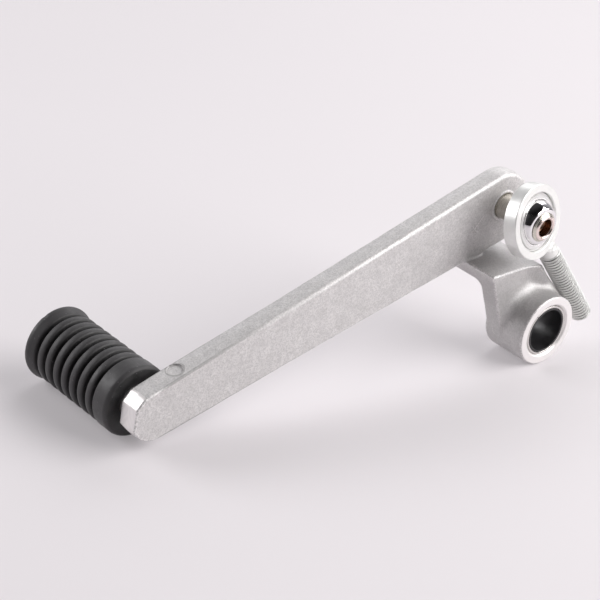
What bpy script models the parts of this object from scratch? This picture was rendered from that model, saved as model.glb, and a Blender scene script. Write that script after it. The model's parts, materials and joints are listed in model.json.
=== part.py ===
"""Motorcycle gear shift lever, modelled at full size in metres with +Z up.

The lever lies as it does on a bench: its toe rubber and its pivot boss touch Z = 0.
Pieces are drawn in the bar's own frame, whose origin is the toe peg's axis on the bar's
front face. X runs along the bar to the link end, -Y is the front and Z is across the bar.
"""

import math

import bmesh
import bpy
from mathutils import Matrix, Vector

# Bar: a flat cast bar, rounded at both ends, with a small flat on the toe
BAR_LENGTH = 0.1164
BAR_THICKNESS = 0.0060
BAR_RISE = 0.0004
BAR_EDGE_RADIUS = 0.0011
TOE_END_RADIUS = 0.0069
TOE_FLAT_CUT = 0.0009
LINK_END_RADIUS = 0.0106

# Pivot bush: a rolled steel shell with a low-friction liner
BUSH_BORE_RADIUS = 0.0060
LINER_WALL = 0.0005
SHELL_WALL = 0.0006
BUSH_RECESS = 0.0003

# Pivot boss, carried in front of the bar by a shelf and a web
PIVOT_INSET = 0.0014
PIVOT_DROP = 0.0298
BOSS_WALL = 0.0028
BOSS_FRONT = 0.0182
BOSS_EDGE = 0.0004
BOSS_BACK_PROUD = 0.0004
WEB_FRONT = 0.0108
WEB_BACK = 0.0052
WEB_LEFT_INSET = 0.0003
WEB_RIGHT_INSET = 0.0002
SHELF_LEFT_REACH = 0.0127
SHELF_RIGHT_REACH = 0.0043
SHELF_DROP = 0.0088
SHELF_THICKNESS = 0.0042
CAST_EDGE_RADIUS = 0.0007
FORM_STEP = 0.00015

# Toe peg: a cast spigot with a retaining bead, and the ribbed rubber pushed over it
SPIGOT_RADIUS = 0.0046
BEAD_HEIGHT = 0.0007
BEAD_WIDTH = 0.0030
BEAD_INSET = 0.0040
RUBBER_STANDOFF = 0.0020
RUBBER_LENGTH = 0.0334
RUBBER_END_WALL = 0.0051
RUBBER_COLLAR_LENGTH = 0.0047
RUBBER_COLLAR_RADIUS = 0.0096
RUBBER_FLANGE_LENGTH = 0.0048
RUBBER_FLANGE_RADIUS = 0.0100
RUBBER_RIB_COUNT = 7
RUBBER_RIB_RADIUS = 0.0095
RUBBER_GROOVE_WIDTH = 0.0012
RUBBER_GROOVE_DEPTH = 0.0019
RUBBER_EDGE = 0.0005

# Link stud: pressed through the bar, shouldered under the ball and flared over it
STUD_OUTSET = 0.0009
STUD_RISE = 0.0016
STUD_TAIL_RADIUS = 0.0027
STUD_SHOULDER = 0.0007
FLARE_LIP = 0.0014
FLARE_LENGTH = 0.0011
FLARE_HOLE_WALL = 0.00075
FLARE_HOLE_FLANK = 0.00035
FLARE_HOLE_DEPTH = 0.0040

# Spherical rod end with a male M6 shank
BALL_STANDOFF = 0.0104
BALL_RADIUS = 0.00635
BALL_WIDTH = 0.0078
RACE_WALL = 0.00125
RACE_WIDTH = 0.0035
EYE_WALL = 0.0022
EYE_WIDTH = 0.0040
EYE_EDGE = 0.0003
SHANK_RADIUS = 0.0029
NECK_REACH = 0.0016
SHANK_REACH = 0.0400
SHANK_POINT = 0.0008
REST_SKEW = math.radians(15.0)
SKEW_DIRECTION = math.radians(41.0)

# Clearances
PRESS_GAP = 0.0001
RUBBER_GAP = 0.0003
BALL_GAP = 0.0003
LEAN_GAP = 0.0003

# Sizes and places that follow from those above
PIVOT_X = BAR_LENGTH - PIVOT_INSET
SHELF_LEFT = PIVOT_X - SHELF_LEFT_REACH
SHELF_RIGHT = PIVOT_X + SHELF_RIGHT_REACH
STUD_X = BAR_LENGTH + STUD_OUTSET
LINER_RADIUS = BUSH_BORE_RADIUS + LINER_WALL
SHELL_RADIUS = LINER_RADIUS + PRESS_GAP + SHELL_WALL
BUSH_SEAT_RADIUS = SHELL_RADIUS + PRESS_GAP
BOSS_RADIUS = BUSH_SEAT_RADIUS + BOSS_WALL
SPIGOT_END = BAR_THICKNESS + RUBBER_STANDOFF + RUBBER_LENGTH - RUBBER_END_WALL - RUBBER_GAP
STUD_RADIUS = STUD_TAIL_RADIUS + STUD_SHOULDER
RACE_RADIUS = BALL_RADIUS + BALL_GAP + RACE_WALL
EYE_BORE_RADIUS = RACE_RADIUS + PRESS_GAP
EYE_RADIUS = EYE_BORE_RADIUS + EYE_WALL

# Facets: in a full turn, along arcs and across rounded edges
TURN = 48
COARSE_TURN = 32
LINK_END_STEPS = 28
TOE_END_STEPS = 5
BALL_STEPS = 14
RACE_STEPS = 10
BAR_EDGE_STEPS = 3
CAST_EDGE_STEPS = 2
SMOOTH_BELOW = math.radians(35.0)
ROUND_ABOVE = math.radians(30.0)


def clear_scene():
    for thing in list(bpy.data.objects):
        bpy.data.objects.remove(thing)


def finish(name, colour, roughness, metallic):
    """A Principled material of one finish."""
    material = bpy.data.materials.new(name)
    material.use_nodes = True
    shader = material.node_tree.nodes["Principled BSDF"]
    shader.inputs["Base Color"].default_value = (*colour, 1.0)
    shader.inputs["Roughness"].default_value = roughness
    shader.inputs["Metallic"].default_value = metallic
    material.diffuse_color = (*colour, 1.0)
    return material


def empty(name, parent=None, location=(0.0, 0.0, 0.0), rotation=(0.0, 0.0, 0.0)):
    thing = bpy.data.objects.new(name, None)
    bpy.context.scene.collection.objects.link(thing)
    thing.parent = parent
    thing.location = location
    thing.rotation_euler = rotation
    return thing


def solid(name, shape, parent, material=None, location=(0.0, 0.0, 0.0)):
    """A mesh object from a bmesh; one with no material is a hidden helper."""
    bmesh.ops.recalc_face_normals(shape, faces=shape.faces)
    mesh = bpy.data.meshes.new(name)
    shape.to_mesh(mesh)
    shape.free()
    mesh.shade_smooth()
    mesh.set_sharp_from_angle(angle=SMOOTH_BELOW)
    thing = bpy.data.objects.new(name, mesh)
    bpy.context.scene.collection.objects.link(thing)
    thing.parent = parent
    thing.location = location
    if material:
        mesh.materials.append(material)
    else:
        thing.hide_render = True
        thing.display_type = "WIRE"
    return thing


def combine(target, tool, operation):
    modifier = target.modifiers.new(f"{operation.lower()}_{tool.name}", "BOOLEAN")
    modifier.operation = operation
    modifier.solver = "EXACT"
    modifier.object = tool


def round_edges(target, width, segments):
    modifier = target.modifiers.new("rounded_edges", "BEVEL")
    modifier.width = width
    modifier.segments = segments
    modifier.limit_method = "ANGLE"
    modifier.angle_limit = ROUND_ABOVE


def turned(profile, turn, ring=False):
    """A body of revolution about Y from (radius, y) points; a ring's profile closes on itself."""
    shape = bmesh.new()
    rows = []
    for radius, along in profile:
        if radius == 0.0:
            rows.append([shape.verts.new((0.0, along, 0.0))] * turn)
            continue
        row = []
        for step in range(turn):
            angle = math.tau * step / turn
            row.append(shape.verts.new((radius * math.cos(angle), along, radius * math.sin(angle))))
        rows.append(row)
    pairs = list(zip(rows, rows[1:]))
    if ring:
        pairs.append((rows[-1], rows[0]))
    for first, second in pairs:
        for step in range(turn):
            after = (step + 1) % turn
            corners = [first[step], first[after], second[after], second[step]]
            corners = list(dict.fromkeys(corners))
            if len(corners) > 2:
                shape.faces.new(corners)
    return shape


def extruded(outline, front, back):
    """A prism between two depths from (x, z) points."""
    shape = bmesh.new()
    face = shape.faces.new([shape.verts.new((x, front, z)) for x, z in outline])
    made = bmesh.ops.extrude_face_region(shape, geom=[face])
    moved = [item for item in made["geom"] if isinstance(item, bmesh.types.BMVert)]
    bmesh.ops.translate(shape, verts=moved, vec=(0.0, back - front, 0.0))
    return shape


def arc(centre, radius, start, end, steps):
    """Points along an arc in the X-Z plane, both ends included."""
    points = []
    for step in range(steps + 1):
        angle = start + (end - start) * step / steps
        points.append((centre[0] + radius * math.cos(angle), centre[1] + radius * math.sin(angle)))
    return points


def tangent_point(point, centre, radius, side):
    """Where a line from a point touches a circle, on its left (side 1) or right (side -1)."""
    across = Vector(point) - Vector(centre)
    turn = side * math.acos(radius / across.length)
    direction = across.normalized()
    direction.rotate(Matrix.Rotation(turn, 2))
    return tuple(Vector(centre) + radius * direction)


def pivot_line_angle():
    """How far the line from the toe peg's axis to the pivot falls below the bar."""
    return math.atan2(PIVOT_DROP, PIVOT_X)


def rest_rise():
    """The bar's slope when the rubber's flange and the boss lie on one level surface."""
    distance = math.hypot(PIVOT_X, PIVOT_DROP)
    return pivot_line_angle() + math.asin((BOSS_RADIUS - RUBBER_FLANGE_RADIUS) / distance)


def lean_angle():
    """The shank's turn from straight across the bar, where it leans on the boss with the eye square."""
    across = PIVOT_X - STUD_X
    down = PIVOT_DROP + STUD_RISE
    reach = BOSS_RADIUS + SHANK_RADIUS + LEAN_GAP
    return math.asin(reach / math.hypot(across, down)) - math.atan2(-across, down)


def bar_outline():
    """The bar seen from the front: two round ends joined by their tangents, with a flat at the toe."""
    slope = math.asin((LINK_END_RADIUS - TOE_END_RADIUS) / BAR_LENGTH)
    upper = math.pi / 2 + slope
    facet = math.acos(1.0 - TOE_FLAT_CUT / TOE_END_RADIUS)
    link = arc((BAR_LENGTH, BAR_RISE), LINK_END_RADIUS, -upper, upper, LINK_END_STEPS)
    toe_top = arc((0.0, BAR_RISE), TOE_END_RADIUS, upper, math.pi - facet, TOE_END_STEPS)
    toe_bottom = arc((0.0, BAR_RISE), TOE_END_RADIUS, math.pi + facet, math.tau - upper, TOE_END_STEPS)
    return link + toe_top + toe_bottom


def shelf_drop_at(x):
    """Depth of the shelf's top below the bar's centreline; the shelf follows the pivot line."""
    return SHELF_DROP + (x - SHELF_LEFT) * math.tan(pivot_line_angle())


def shelf_outline(step):
    """The shelf seen from the front, drawn in by a step on every side."""
    left = SHELF_LEFT + step
    right = SHELF_RIGHT - step
    corners = [(left, -shelf_drop_at(left) - step), (right, -shelf_drop_at(right) - step)]
    depth = SHELF_THICKNESS - 2.0 * step
    return corners + [(x, z - depth) for x, z in reversed(corners)]


def root_outline(step):
    """The shelf's root under the bar, reaching up into the bar's own depth."""
    lower_right, lower_left = shelf_outline(step)[2:]
    into_bar = -LINK_END_RADIUS / 2
    return [(lower_left[0], into_bar), (lower_right[0], into_bar), lower_right, lower_left]


def web_outline():
    """The web seen from the front: its sides run from the shelf to just inside the rim of the boss."""
    pivot = (PIVOT_X, -PIVOT_DROP)
    upper_left = (SHELF_LEFT, -shelf_drop_at(SHELF_LEFT))
    upper_right = (SHELF_RIGHT, -shelf_drop_at(SHELF_RIGHT))
    lower_right = tangent_point(upper_right, pivot, BOSS_RADIUS - WEB_RIGHT_INSET, -1)
    lower_left = tangent_point(upper_left, pivot, BOSS_RADIUS - WEB_LEFT_INSET, 1)
    return [upper_left, upper_right, lower_right, lower_left]


def boss_back():
    """The boss's rear face, a little proud of the web's."""
    return -WEB_BACK + BOSS_BACK_PROUD


def boss_profile():
    return [
        (0.0, boss_back()),
        (BOSS_RADIUS - BOSS_EDGE, boss_back()),
        (BOSS_RADIUS, boss_back() - BOSS_EDGE),
        (BOSS_RADIUS, -BOSS_FRONT + BOSS_EDGE),
        (BOSS_RADIUS - BOSS_EDGE, -BOSS_FRONT),
        (0.0, -BOSS_FRONT),
    ]


def plug_profile(radius, front, back):
    return [(0.0, back), (radius, back), (radius, front), (0.0, front)]


def spigot_profile(slack, root, end):
    """The spigot's turned outline, also used with some slack for the rubber's bore."""
    radius = SPIGOT_RADIUS + slack
    bead_radius = radius + BEAD_HEIGHT
    bead_end = SPIGOT_END - BEAD_INSET + slack
    bead_start = bead_end - BEAD_WIDTH - 2.0 * slack
    return [
        (radius, root),
        (radius, bead_start),
        (bead_radius, bead_start + BEAD_HEIGHT),
        (bead_radius, bead_end - BEAD_HEIGHT),
        (radius, bead_end),
        (radius, end),
        (0.0, end),
    ]


def make_lever_arm(frame):
    """The casting: bar, shelf, web, boss and spigot in one piece, with the seats cut in it."""
    aluminium = finish("cast_aluminium", (0.62, 0.62, 0.63), 0.42, 1.0)
    pivot = (PIVOT_X, 0.0, -PIVOT_DROP)
    stud = (STUD_X, 0.0, STUD_RISE)
    arm = solid("lever_arm", extruded(bar_outline(), 0.0, BAR_THICKNESS), frame, aluminium)
    round_edges(arm, BAR_EDGE_RADIUS, BAR_EDGE_STEPS)

    shelf_front = -(WEB_FRONT + WEB_BACK) / 2
    root_front = BAR_THICKNESS / 4
    root_back = BAR_THICKNESS - BAR_EDGE_RADIUS / 2
    shelf_points = shelf_outline(FORM_STEP)
    root_points = root_outline(2.0 * FORM_STEP)
    shelf = solid("shelf_form", extruded(shelf_points, shelf_front, BAR_THICKNESS / 2), frame)
    root = solid("root_form", extruded(root_points, root_front, root_back), frame)
    web = solid("web_form", extruded(web_outline(), -WEB_FRONT, -WEB_BACK), frame)
    for form in (shelf, root, web):
        round_edges(form, CAST_EDGE_RADIUS, CAST_EDGE_STEPS)
    boss = solid("boss_form", turned(boss_profile(), TURN), frame, location=pivot)
    spigot_start = BAR_THICKNESS / 2
    spigot_points = [(0.0, spigot_start)] + spigot_profile(0.0, spigot_start, SPIGOT_END)
    spigot = solid("spigot_form", turned(spigot_points, COARSE_TURN), frame)
    past = BOSS_EDGE
    hole_profile = plug_profile(STUD_RADIUS + PRESS_GAP, -past, BAR_THICKNESS + past)
    hole = solid("stud_hole", turned(hole_profile, COARSE_TURN), frame, location=stud)
    seat_profile = plug_profile(BUSH_SEAT_RADIUS, -BOSS_FRONT - past, boss_back() + past)
    seat = solid("bush_seat", turned(seat_profile, TURN), frame, location=pivot)
    combine(arm, hole, "DIFFERENCE")
    for form in (spigot, root, shelf, web, boss):
        combine(arm, form, "UNION")
    combine(arm, seat, "DIFFERENCE")
    return arm


def rubber_profile():
    """Outside of the rubber from its open end to its closed end, then back along the bore."""
    start = BAR_THICKNESS + RUBBER_STANDOFF
    end = start + RUBBER_LENGTH
    ribs_start = start + RUBBER_COLLAR_LENGTH
    ribs_end = end - RUBBER_FLANGE_LENGTH
    grooves = (RUBBER_RIB_COUNT + 1) * RUBBER_GROOVE_WIDTH
    rib_width = (ribs_end - ribs_start - grooves) / RUBBER_RIB_COUNT
    groove_radius = RUBBER_RIB_RADIUS - RUBBER_GROOVE_DEPTH
    shoulder = RUBBER_RIB_RADIUS - RUBBER_EDGE
    points = [(RUBBER_COLLAR_RADIUS - RUBBER_EDGE, start), (RUBBER_COLLAR_RADIUS, start + RUBBER_EDGE)]
    points.append((RUBBER_COLLAR_RADIUS, ribs_start))
    along = ribs_start
    for rib in range(RUBBER_RIB_COUNT + 1):
        points.append((groove_radius, along + RUBBER_GROOVE_WIDTH / 4))
        points.append((groove_radius, along + 3 * RUBBER_GROOVE_WIDTH / 4))
        along += RUBBER_GROOVE_WIDTH
        if rib < RUBBER_RIB_COUNT:
            points.append((shoulder, along))
            points.append((RUBBER_RIB_RADIUS, along + rib_width / 3))
            points.append((RUBBER_RIB_RADIUS, along + 2 * rib_width / 3))
            points.append((shoulder, along + rib_width))
            along += rib_width
    points.append((RUBBER_FLANGE_RADIUS, ribs_end))
    points.append((RUBBER_FLANGE_RADIUS, end - RUBBER_EDGE))
    points.append((RUBBER_FLANGE_RADIUS - RUBBER_EDGE, end))
    points.append((0.0, end))
    bore = spigot_profile(RUBBER_GAP, start, SPIGOT_END + RUBBER_GAP)
    return points + list(reversed(bore))


def make_toe_peg_rubber(frame):
    rubber = finish("black_rubber", (0.025, 0.025, 0.026), 0.62, 0.0)
    return solid("toe_peg_rubber", turned(rubber_profile(), COARSE_TURN, ring=True), frame, rubber)


def tube_profile(inner, outer, front, back):
    return [(inner, back), (outer, back), (outer, front), (inner, front)]


def make_pivot_bush(frame):
    """The steel shell in the boss and the liner in the shell, a little below the boss's faces."""
    pivot = (PIVOT_X, 0.0, -PIVOT_DROP)
    front = -BOSS_FRONT + BUSH_RECESS
    back = boss_back() - BUSH_RECESS
    steel = finish("bush_steel", (0.55, 0.54, 0.52), 0.3, 1.0)
    liner = finish("bush_liner", (0.03, 0.03, 0.03), 0.45, 0.0)
    shell_points = tube_profile(SHELL_RADIUS - SHELL_WALL, SHELL_RADIUS, front, back)
    liner_points = tube_profile(BUSH_BORE_RADIUS, LINER_RADIUS, front, back)
    solid("pivot_bush_shell", turned(shell_points, TURN, ring=True), frame, steel, pivot)
    solid("pivot_bush_liner", turned(liner_points, TURN, ring=True), frame, liner, pivot)


def make_link_stud(frame):
    """Pressed through the bar, shouldered under the ball and flared over the ball's outer face."""
    steel = finish("stud_steel", (0.60, 0.57, 0.50), 0.28, 1.0)
    shoulder = -BALL_STANDOFF + BALL_WIDTH / 2 + PRESS_GAP
    ball_face = -BALL_STANDOFF - BALL_WIDTH / 2 - PRESS_GAP
    tip = ball_face - FLARE_LENGTH
    flare = STUD_TAIL_RADIUS + FLARE_LIP
    hole = STUD_TAIL_RADIUS - FLARE_HOLE_WALL
    points = [
        (0.0, BAR_THICKNESS),
        (STUD_RADIUS, BAR_THICKNESS),
        (STUD_RADIUS, shoulder),
        (STUD_TAIL_RADIUS, shoulder),
        (STUD_TAIL_RADIUS, ball_face),
        (flare, ball_face),
        (flare - FLARE_LENGTH / 2, tip),
        (hole + FLARE_HOLE_FLANK, tip),
        (hole, tip + FLARE_LENGTH),
        (hole, tip + FLARE_HOLE_DEPTH),
        (0.0, tip + FLARE_HOLE_DEPTH + FLARE_LENGTH),
    ]
    location = (STUD_X, 0.0, STUD_RISE)
    return solid("link_stud", turned(points, COARSE_TURN), frame, steel, location)


def ball_zone(radius, half_width, steps):
    """Points along a ball's side between two flats, from +Y to -Y."""
    limit = math.asin(half_width / radius)
    points = []
    for step in range(steps + 1):
        angle = limit - 2.0 * limit * step / steps
        points.append((radius * math.cos(angle), radius * math.sin(angle)))
    return points


def make_rod_end_ball(swing):
    chrome = finish("ball_chrome", (0.75, 0.75, 0.76), 0.08, 1.0)
    bore = STUD_TAIL_RADIUS + PRESS_GAP
    half = BALL_WIDTH / 2
    points = ball_zone(BALL_RADIUS, half, BALL_STEPS) + [(bore, -half), (bore, half)]
    return solid("rod_end_ball", turned(points, TURN, ring=True), swing, chrome)


def make_rod_end_race(skew):
    grey = finish("race_steel", (0.52, 0.52, 0.52), 0.35, 1.0)
    half = RACE_WIDTH / 2
    inside = ball_zone(BALL_RADIUS + BALL_GAP, half, RACE_STEPS)
    points = inside + [(RACE_RADIUS, -half), (RACE_RADIUS, half)]
    return solid("rod_end_race", turned(points, TURN, ring=True), skew, grey)


def make_rod_end_housing(shank_frame):
    """The eye with its chamfered rims, and the shank that widens out of it and runs down."""
    zinc = finish("zinc_plate", (0.70, 0.72, 0.70), 0.25, 1.0)
    half = EYE_WIDTH / 2
    eye_points = [
        (EYE_BORE_RADIUS, half),
        (EYE_RADIUS - EYE_EDGE, half),
        (EYE_RADIUS, half - EYE_EDGE),
        (EYE_RADIUS, -half + EYE_EDGE),
        (EYE_RADIUS - EYE_EDGE, -half),
        (EYE_BORE_RADIUS, -half),
    ]
    housing = solid("rod_end_housing", turned(eye_points, TURN, ring=True), shank_frame, zinc)
    shank_start = EYE_BORE_RADIUS + EYE_WALL / 2
    shank_points = [
        (0.0, -shank_start),
        (half - EYE_EDGE, -shank_start),
        (SHANK_RADIUS, -EYE_RADIUS - NECK_REACH),
        (SHANK_RADIUS, -SHANK_REACH + SHANK_POINT),
        (SHANK_RADIUS - SHANK_POINT, -SHANK_REACH),
        (0.0, -SHANK_REACH),
    ]
    shank = solid("shank_form", turned(shank_points, COARSE_TURN), shank_frame)
    shank.rotation_euler = (math.pi / 2, 0.0, 0.0)
    combine(housing, shank, "UNION")
    return housing


def stand_on_floor(frame):
    """Moves the lever so that the origin is under the middle of its box, at its lowest point."""
    bpy.context.view_layer.update()
    graph = bpy.context.evaluated_depsgraph_get()
    low = Vector((math.inf,) * 3)
    high = -low
    for thing in bpy.data.objects:
        if thing.type != "MESH" or thing.hide_render:
            continue
        ready = thing.evaluated_get(graph)
        for vertex in ready.data.vertices:
            place = ready.matrix_world @ vertex.co
            low = Vector(map(min, low, place))
            high = Vector(map(max, high, place))
    frame.location = (-(low.x + high.x) / 2, -(low.y + high.y) / 2, -low.z)
    bpy.context.view_layer.update()


def main():
    clear_scene()
    frame = empty("lever_frame", rotation=(0.0, -rest_rise(), 0.0))
    ball_centre = (STUD_X, -BALL_STANDOFF, STUD_RISE)
    swing = empty("swing_axis", frame, ball_centre, (0.0, SKEW_DIRECTION, 0.0))
    skew = empty("skew_axis", swing, rotation=(-REST_SKEW, 0.0, 0.0))
    shank = empty("shank_frame", skew, rotation=(0.0, -SKEW_DIRECTION - lean_angle(), 0.0))
    make_lever_arm(frame)
    make_toe_peg_rubber(frame)
    make_pivot_bush(frame)
    make_link_stud(frame)
    make_rod_end_ball(swing)
    make_rod_end_race(skew)
    make_rod_end_housing(shank)
    stand_on_floor(frame)


main()
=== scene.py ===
"""Looks of a motorcycle gear shift lever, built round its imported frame.

Run as a script, it loads the frame, registers its classes, makes every piece with an operator
and lights the result. Sizes are in metres. Most pieces are drawn in the bar's own frame: the
origin is the toe peg's axis on the bar's front face, X runs along the bar to the link end,
-Y is the front and Z is across the bar.
"""

import json
import math

import bmesh
import bpy
import numpy as np
from bpy.props import FloatProperty, FloatVectorProperty, IntProperty, PointerProperty
from mathutils import Matrix, Vector


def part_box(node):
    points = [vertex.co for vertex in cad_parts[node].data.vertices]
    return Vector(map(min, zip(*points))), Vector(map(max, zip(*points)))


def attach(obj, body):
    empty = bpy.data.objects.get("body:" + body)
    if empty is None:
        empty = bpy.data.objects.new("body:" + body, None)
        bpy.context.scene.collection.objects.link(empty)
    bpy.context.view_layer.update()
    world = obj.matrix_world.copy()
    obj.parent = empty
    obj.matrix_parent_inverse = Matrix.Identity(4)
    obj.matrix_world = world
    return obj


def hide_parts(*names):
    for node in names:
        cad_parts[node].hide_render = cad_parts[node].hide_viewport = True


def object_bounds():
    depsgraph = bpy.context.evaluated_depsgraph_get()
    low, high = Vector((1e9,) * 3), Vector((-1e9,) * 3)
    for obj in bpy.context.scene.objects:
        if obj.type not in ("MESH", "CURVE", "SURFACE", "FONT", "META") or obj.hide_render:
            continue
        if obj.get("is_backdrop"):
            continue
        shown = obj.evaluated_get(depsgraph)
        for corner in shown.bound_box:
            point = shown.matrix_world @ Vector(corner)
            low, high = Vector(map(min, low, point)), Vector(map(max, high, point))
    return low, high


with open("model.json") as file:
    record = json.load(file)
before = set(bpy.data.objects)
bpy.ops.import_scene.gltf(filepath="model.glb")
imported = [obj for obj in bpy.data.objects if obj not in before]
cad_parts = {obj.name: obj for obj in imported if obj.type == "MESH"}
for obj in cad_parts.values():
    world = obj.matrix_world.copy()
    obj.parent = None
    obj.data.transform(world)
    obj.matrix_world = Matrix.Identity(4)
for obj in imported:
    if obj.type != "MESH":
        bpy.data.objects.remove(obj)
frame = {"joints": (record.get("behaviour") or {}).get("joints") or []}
CAD_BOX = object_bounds()

bl_info = {
    "name": "Gear shift lever",
    "version": (1, 0, 0),
    "blender": (4, 5, 0),
    "location": "View3D > Sidebar > Gear lever",
    "description": "Builds the visible pieces of a motorcycle gear shift lever round its frame",
    "category": "Object",
}

# Places that the frame and the bar's drawing give
PIVOT_ALONG = 0.1150
PIVOT_DROP = 0.0298
BOSS_FRONT = 0.0182
BOSS_BACK = 0.0048
BOSS_RADIUS = 0.0101
BAR_THICKNESS = 0.0060
SHANK_RADIUS = 0.0029
LEAN_GAP = 0.0003
EYE_SKEW = math.radians(15.0)
SKEW_DIRECTION = math.radians(41.0)

# Limits for shading and meshing
SHARP_ANGLE = math.radians(38.0)
WELD = 1e-6
FINE_TURN = 160
STUD_TURN = 128
SLAB = 48
CROSSING_STEP = 0.00004
SNAP_STEP = 0.00002
SNAP_REACH = 0.0001
SNAP_ROUNDS = 2
MIDDLE_PULL = 0.03
BEND_REACH = 0.0007
CORNER_SHARE = 0.45
UNMOVED = Matrix.Identity(4)
UNTURNED = (0.0, 0.0, 0.0)


def node_centre(node):
    low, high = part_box(node)
    return (low + high) / 2


PEG = node_centre("toe_peg_rubber")
PIVOT = node_centre("pivot_bush_shell")
BALL = Vector(frame["joints"][0]["pos_m"])
PIVOT_FALL = math.atan2(PIVOT_DROP, PIVOT_ALONG)
BAR_RISE = PIVOT_FALL + math.atan2(PIVOT.z - PEG.z, PIVOT.x - PEG.x)
BAR_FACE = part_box("lever_arm")[0].y + BOSS_FRONT
BAR_PLACE = Matrix.Translation((PEG.x, BAR_FACE, PEG.z)) @ Matrix.Rotation(-BAR_RISE, 4, "Y")
STUD = BAR_PLACE.inverted() @ BALL


def eye_place():
    """The rod end's frame: the eye's axis is Y and the shank runs along -Z, leaning on the boss."""
    across = PIVOT_ALONG - STUD.x
    down = PIVOT_DROP + STUD.z
    reach = BOSS_RADIUS + SHANK_RADIUS + LEAN_GAP
    lean = math.asin(reach / math.hypot(across, down)) - math.atan2(-across, down)
    place = Matrix.Translation(BALL) @ Matrix.Rotation(SKEW_DIRECTION - BAR_RISE, 4, "Y")
    place = place @ Matrix.Rotation(-EYE_SKEW, 4, "X")
    return place @ Matrix.Rotation(-SKEW_DIRECTION - lean, 4, "Y")


EYE_PLACE = eye_place()
PIVOT_PLACE = BAR_PLACE @ Matrix.Translation((PIVOT_ALONG, 0.0, -PIVOT_DROP))
STUD_PLACE = BAR_PLACE @ Matrix.Translation((STUD.x, 0.0, STUD.z))
BALL_PLACE = BAR_PLACE @ Matrix.Translation(STUD)

# The resting shank's direction away from the ball, in the bar's frame, and the eye's turn
SHANK = (BAR_PLACE.inverted() @ EYE_PLACE).to_3x3() @ Vector((0.0, 0.0, -1.0))
EYE_TURN = tuple(EYE_PLACE.to_euler())


# Settings
def length(label, about, default):
    return FloatProperty(name=label, description=about, default=default, unit="LENGTH", precision=5)


def angle(label, about, default):
    return FloatProperty(name=label, description=about, default=math.radians(default), subtype="ANGLE")


def tint(label, about, default):
    kinds = {"subtype": "COLOR", "size": 3, "min": 0.0, "max": 1.0}
    return FloatVectorProperty(name=label, description=about, default=default, **kinds)


class CastingSettings(bpy.types.PropertyGroup):
    """The aluminium casting."""

    length: length("Bar length", "From the toe peg's axis to the centre of the link end", 0.1164)
    rise: length("Bar offset", "How far the bar's centreline lies above the toe peg's axis", 0.0004)
    toe_radius: length("Toe end", "Radius of the bar's toe end", 0.0069)
    toe_flat: length("Toe flat", "Distance of the toe's flat from the toe peg's axis", 0.00662)
    toe_flat_turn: angle("Toe flat's turn", "Direction of the flat's normal, from the bar's length", 163.0)
    toe_corner: length("Toe corner", "Distance of the slanted facet above the flat", 0.00728)
    toe_corner_turn: angle("Toe corner's turn", "Direction of the slanted facet's normal", 124.0)
    toe_bulge: length("Toe bulge", "How far the faceted corner stands out of the round end", 0.0004)
    link_radius: length("Link end", "Radius of the bar's link end", 0.0106)
    toe_edge: length("Toe edge", "Rounding of the bar's edges at the toe", 0.00040)
    edge: length("Upper edge", "Rounding along the bar's upper edges, away from the toe", 0.0011)
    under_edge: length("Lower edge", "Rounding along the bar's lower edges, away from the toe", 0.0010)
    draft: angle("Draft", "Slope of the bar's narrow sides away from the parting line", 5.0)
    shelf_left: length("Shelf start", "Left side of the shelf under the link end", 0.1023)
    shelf_right: length("Shelf end", "Right side of the shelf under the link end", 0.1197)
    shank_rim: length("Shank rim", "Width of the web's raised edge beside the shank", 0.0050)
    shank_relief: length("Shank relief", "Radius of the hollow that the web leaves for the shank", 0.00312)
    shelf_drop: length("Shelf drop", "Depth of the shelf's top at its left side", 0.0088)
    shelf_thickness: length("Shelf thickness", "Thickness of the shelf", 0.0042)
    web_front: length("Web front", "Front face of the web, before the bar's face", 0.0108)
    web_back: length("Web back", "Rear face of the web, before the bar's face", 0.0052)
    boss_fillet: length("Boss fillet", "Fillet between the boss and the web, above the boss", 0.0036)
    side_fillet: length("Side fillet", "Fillet between the boss and the web, beside the boss", 0.0010)
    bar_fillet: length("Bar fillet", "Fillet between the bar and the shelf", 0.0014)
    seat_radius: length("Bush seat", "Radius of the seat for the pivot bush", 0.0073)
    seat_chamfer: length("Seat chamfer", "Width of the chamfer at the seat's mouth", 0.00055)
    spigot_radius: length("Spigot", "Radius of the spigot inside the toe rubber", 0.0046)
    spigot_end: length("Spigot end", "End of the spigot behind the bar's front face", 0.0360)
    wobble: length("Unevenness", "Height of the casting's slight unevenness", 0.00004)
    cell: length("Mesh cell", "Width of a grid cell of the casting's mesh", 0.00029)
    colour: tint("Aluminium", "Colour of the cast aluminium", (0.77, 0.752, 0.750))
    machined_colour: tint(
        "Machined aluminium", "Colour of the machined faces and the toe's facets", (0.93, 0.90, 0.895)
    )


class RubberSettings(bpy.types.PropertyGroup):
    """The ribbed rubber of the toe peg."""

    start: length("Open end", "Open end of the rubber behind the bar's front face", 0.0080)
    end: length("Closed end", "Closed end of the rubber behind the bar's front face", 0.0414)
    collar_length: length("Collar length", "Length of the plain collar at the open end", 0.0053)
    collar_radius: length("Collar", "Radius of the collar", 0.0096)
    flange_length: length("Flange length", "Length of the flange at the closed end", 0.0034)
    flange_radius: length("Flange", "Radius of the flange", 0.0100)
    ribs: IntProperty(name="Ribs", description="Number of ribs", default=7, min=1)
    rib_radius: length("Rib", "Radius of a rib's crest", 0.0095)
    groove_width: length("Groove width", "Width of a groove at half its depth", 0.0014)
    groove_depth: length("Groove depth", "Depth of a groove below the crests", 0.0022)
    bore_radius: length("Bore", "Radius of the rubber's bore", 0.0049)
    bore_end: length("Bore end", "Bottom of the bore behind the bar's front face", 0.0363)
    colour: tint("Rubber", "Colour of the rubber", (0.027, 0.0255, 0.027))


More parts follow.
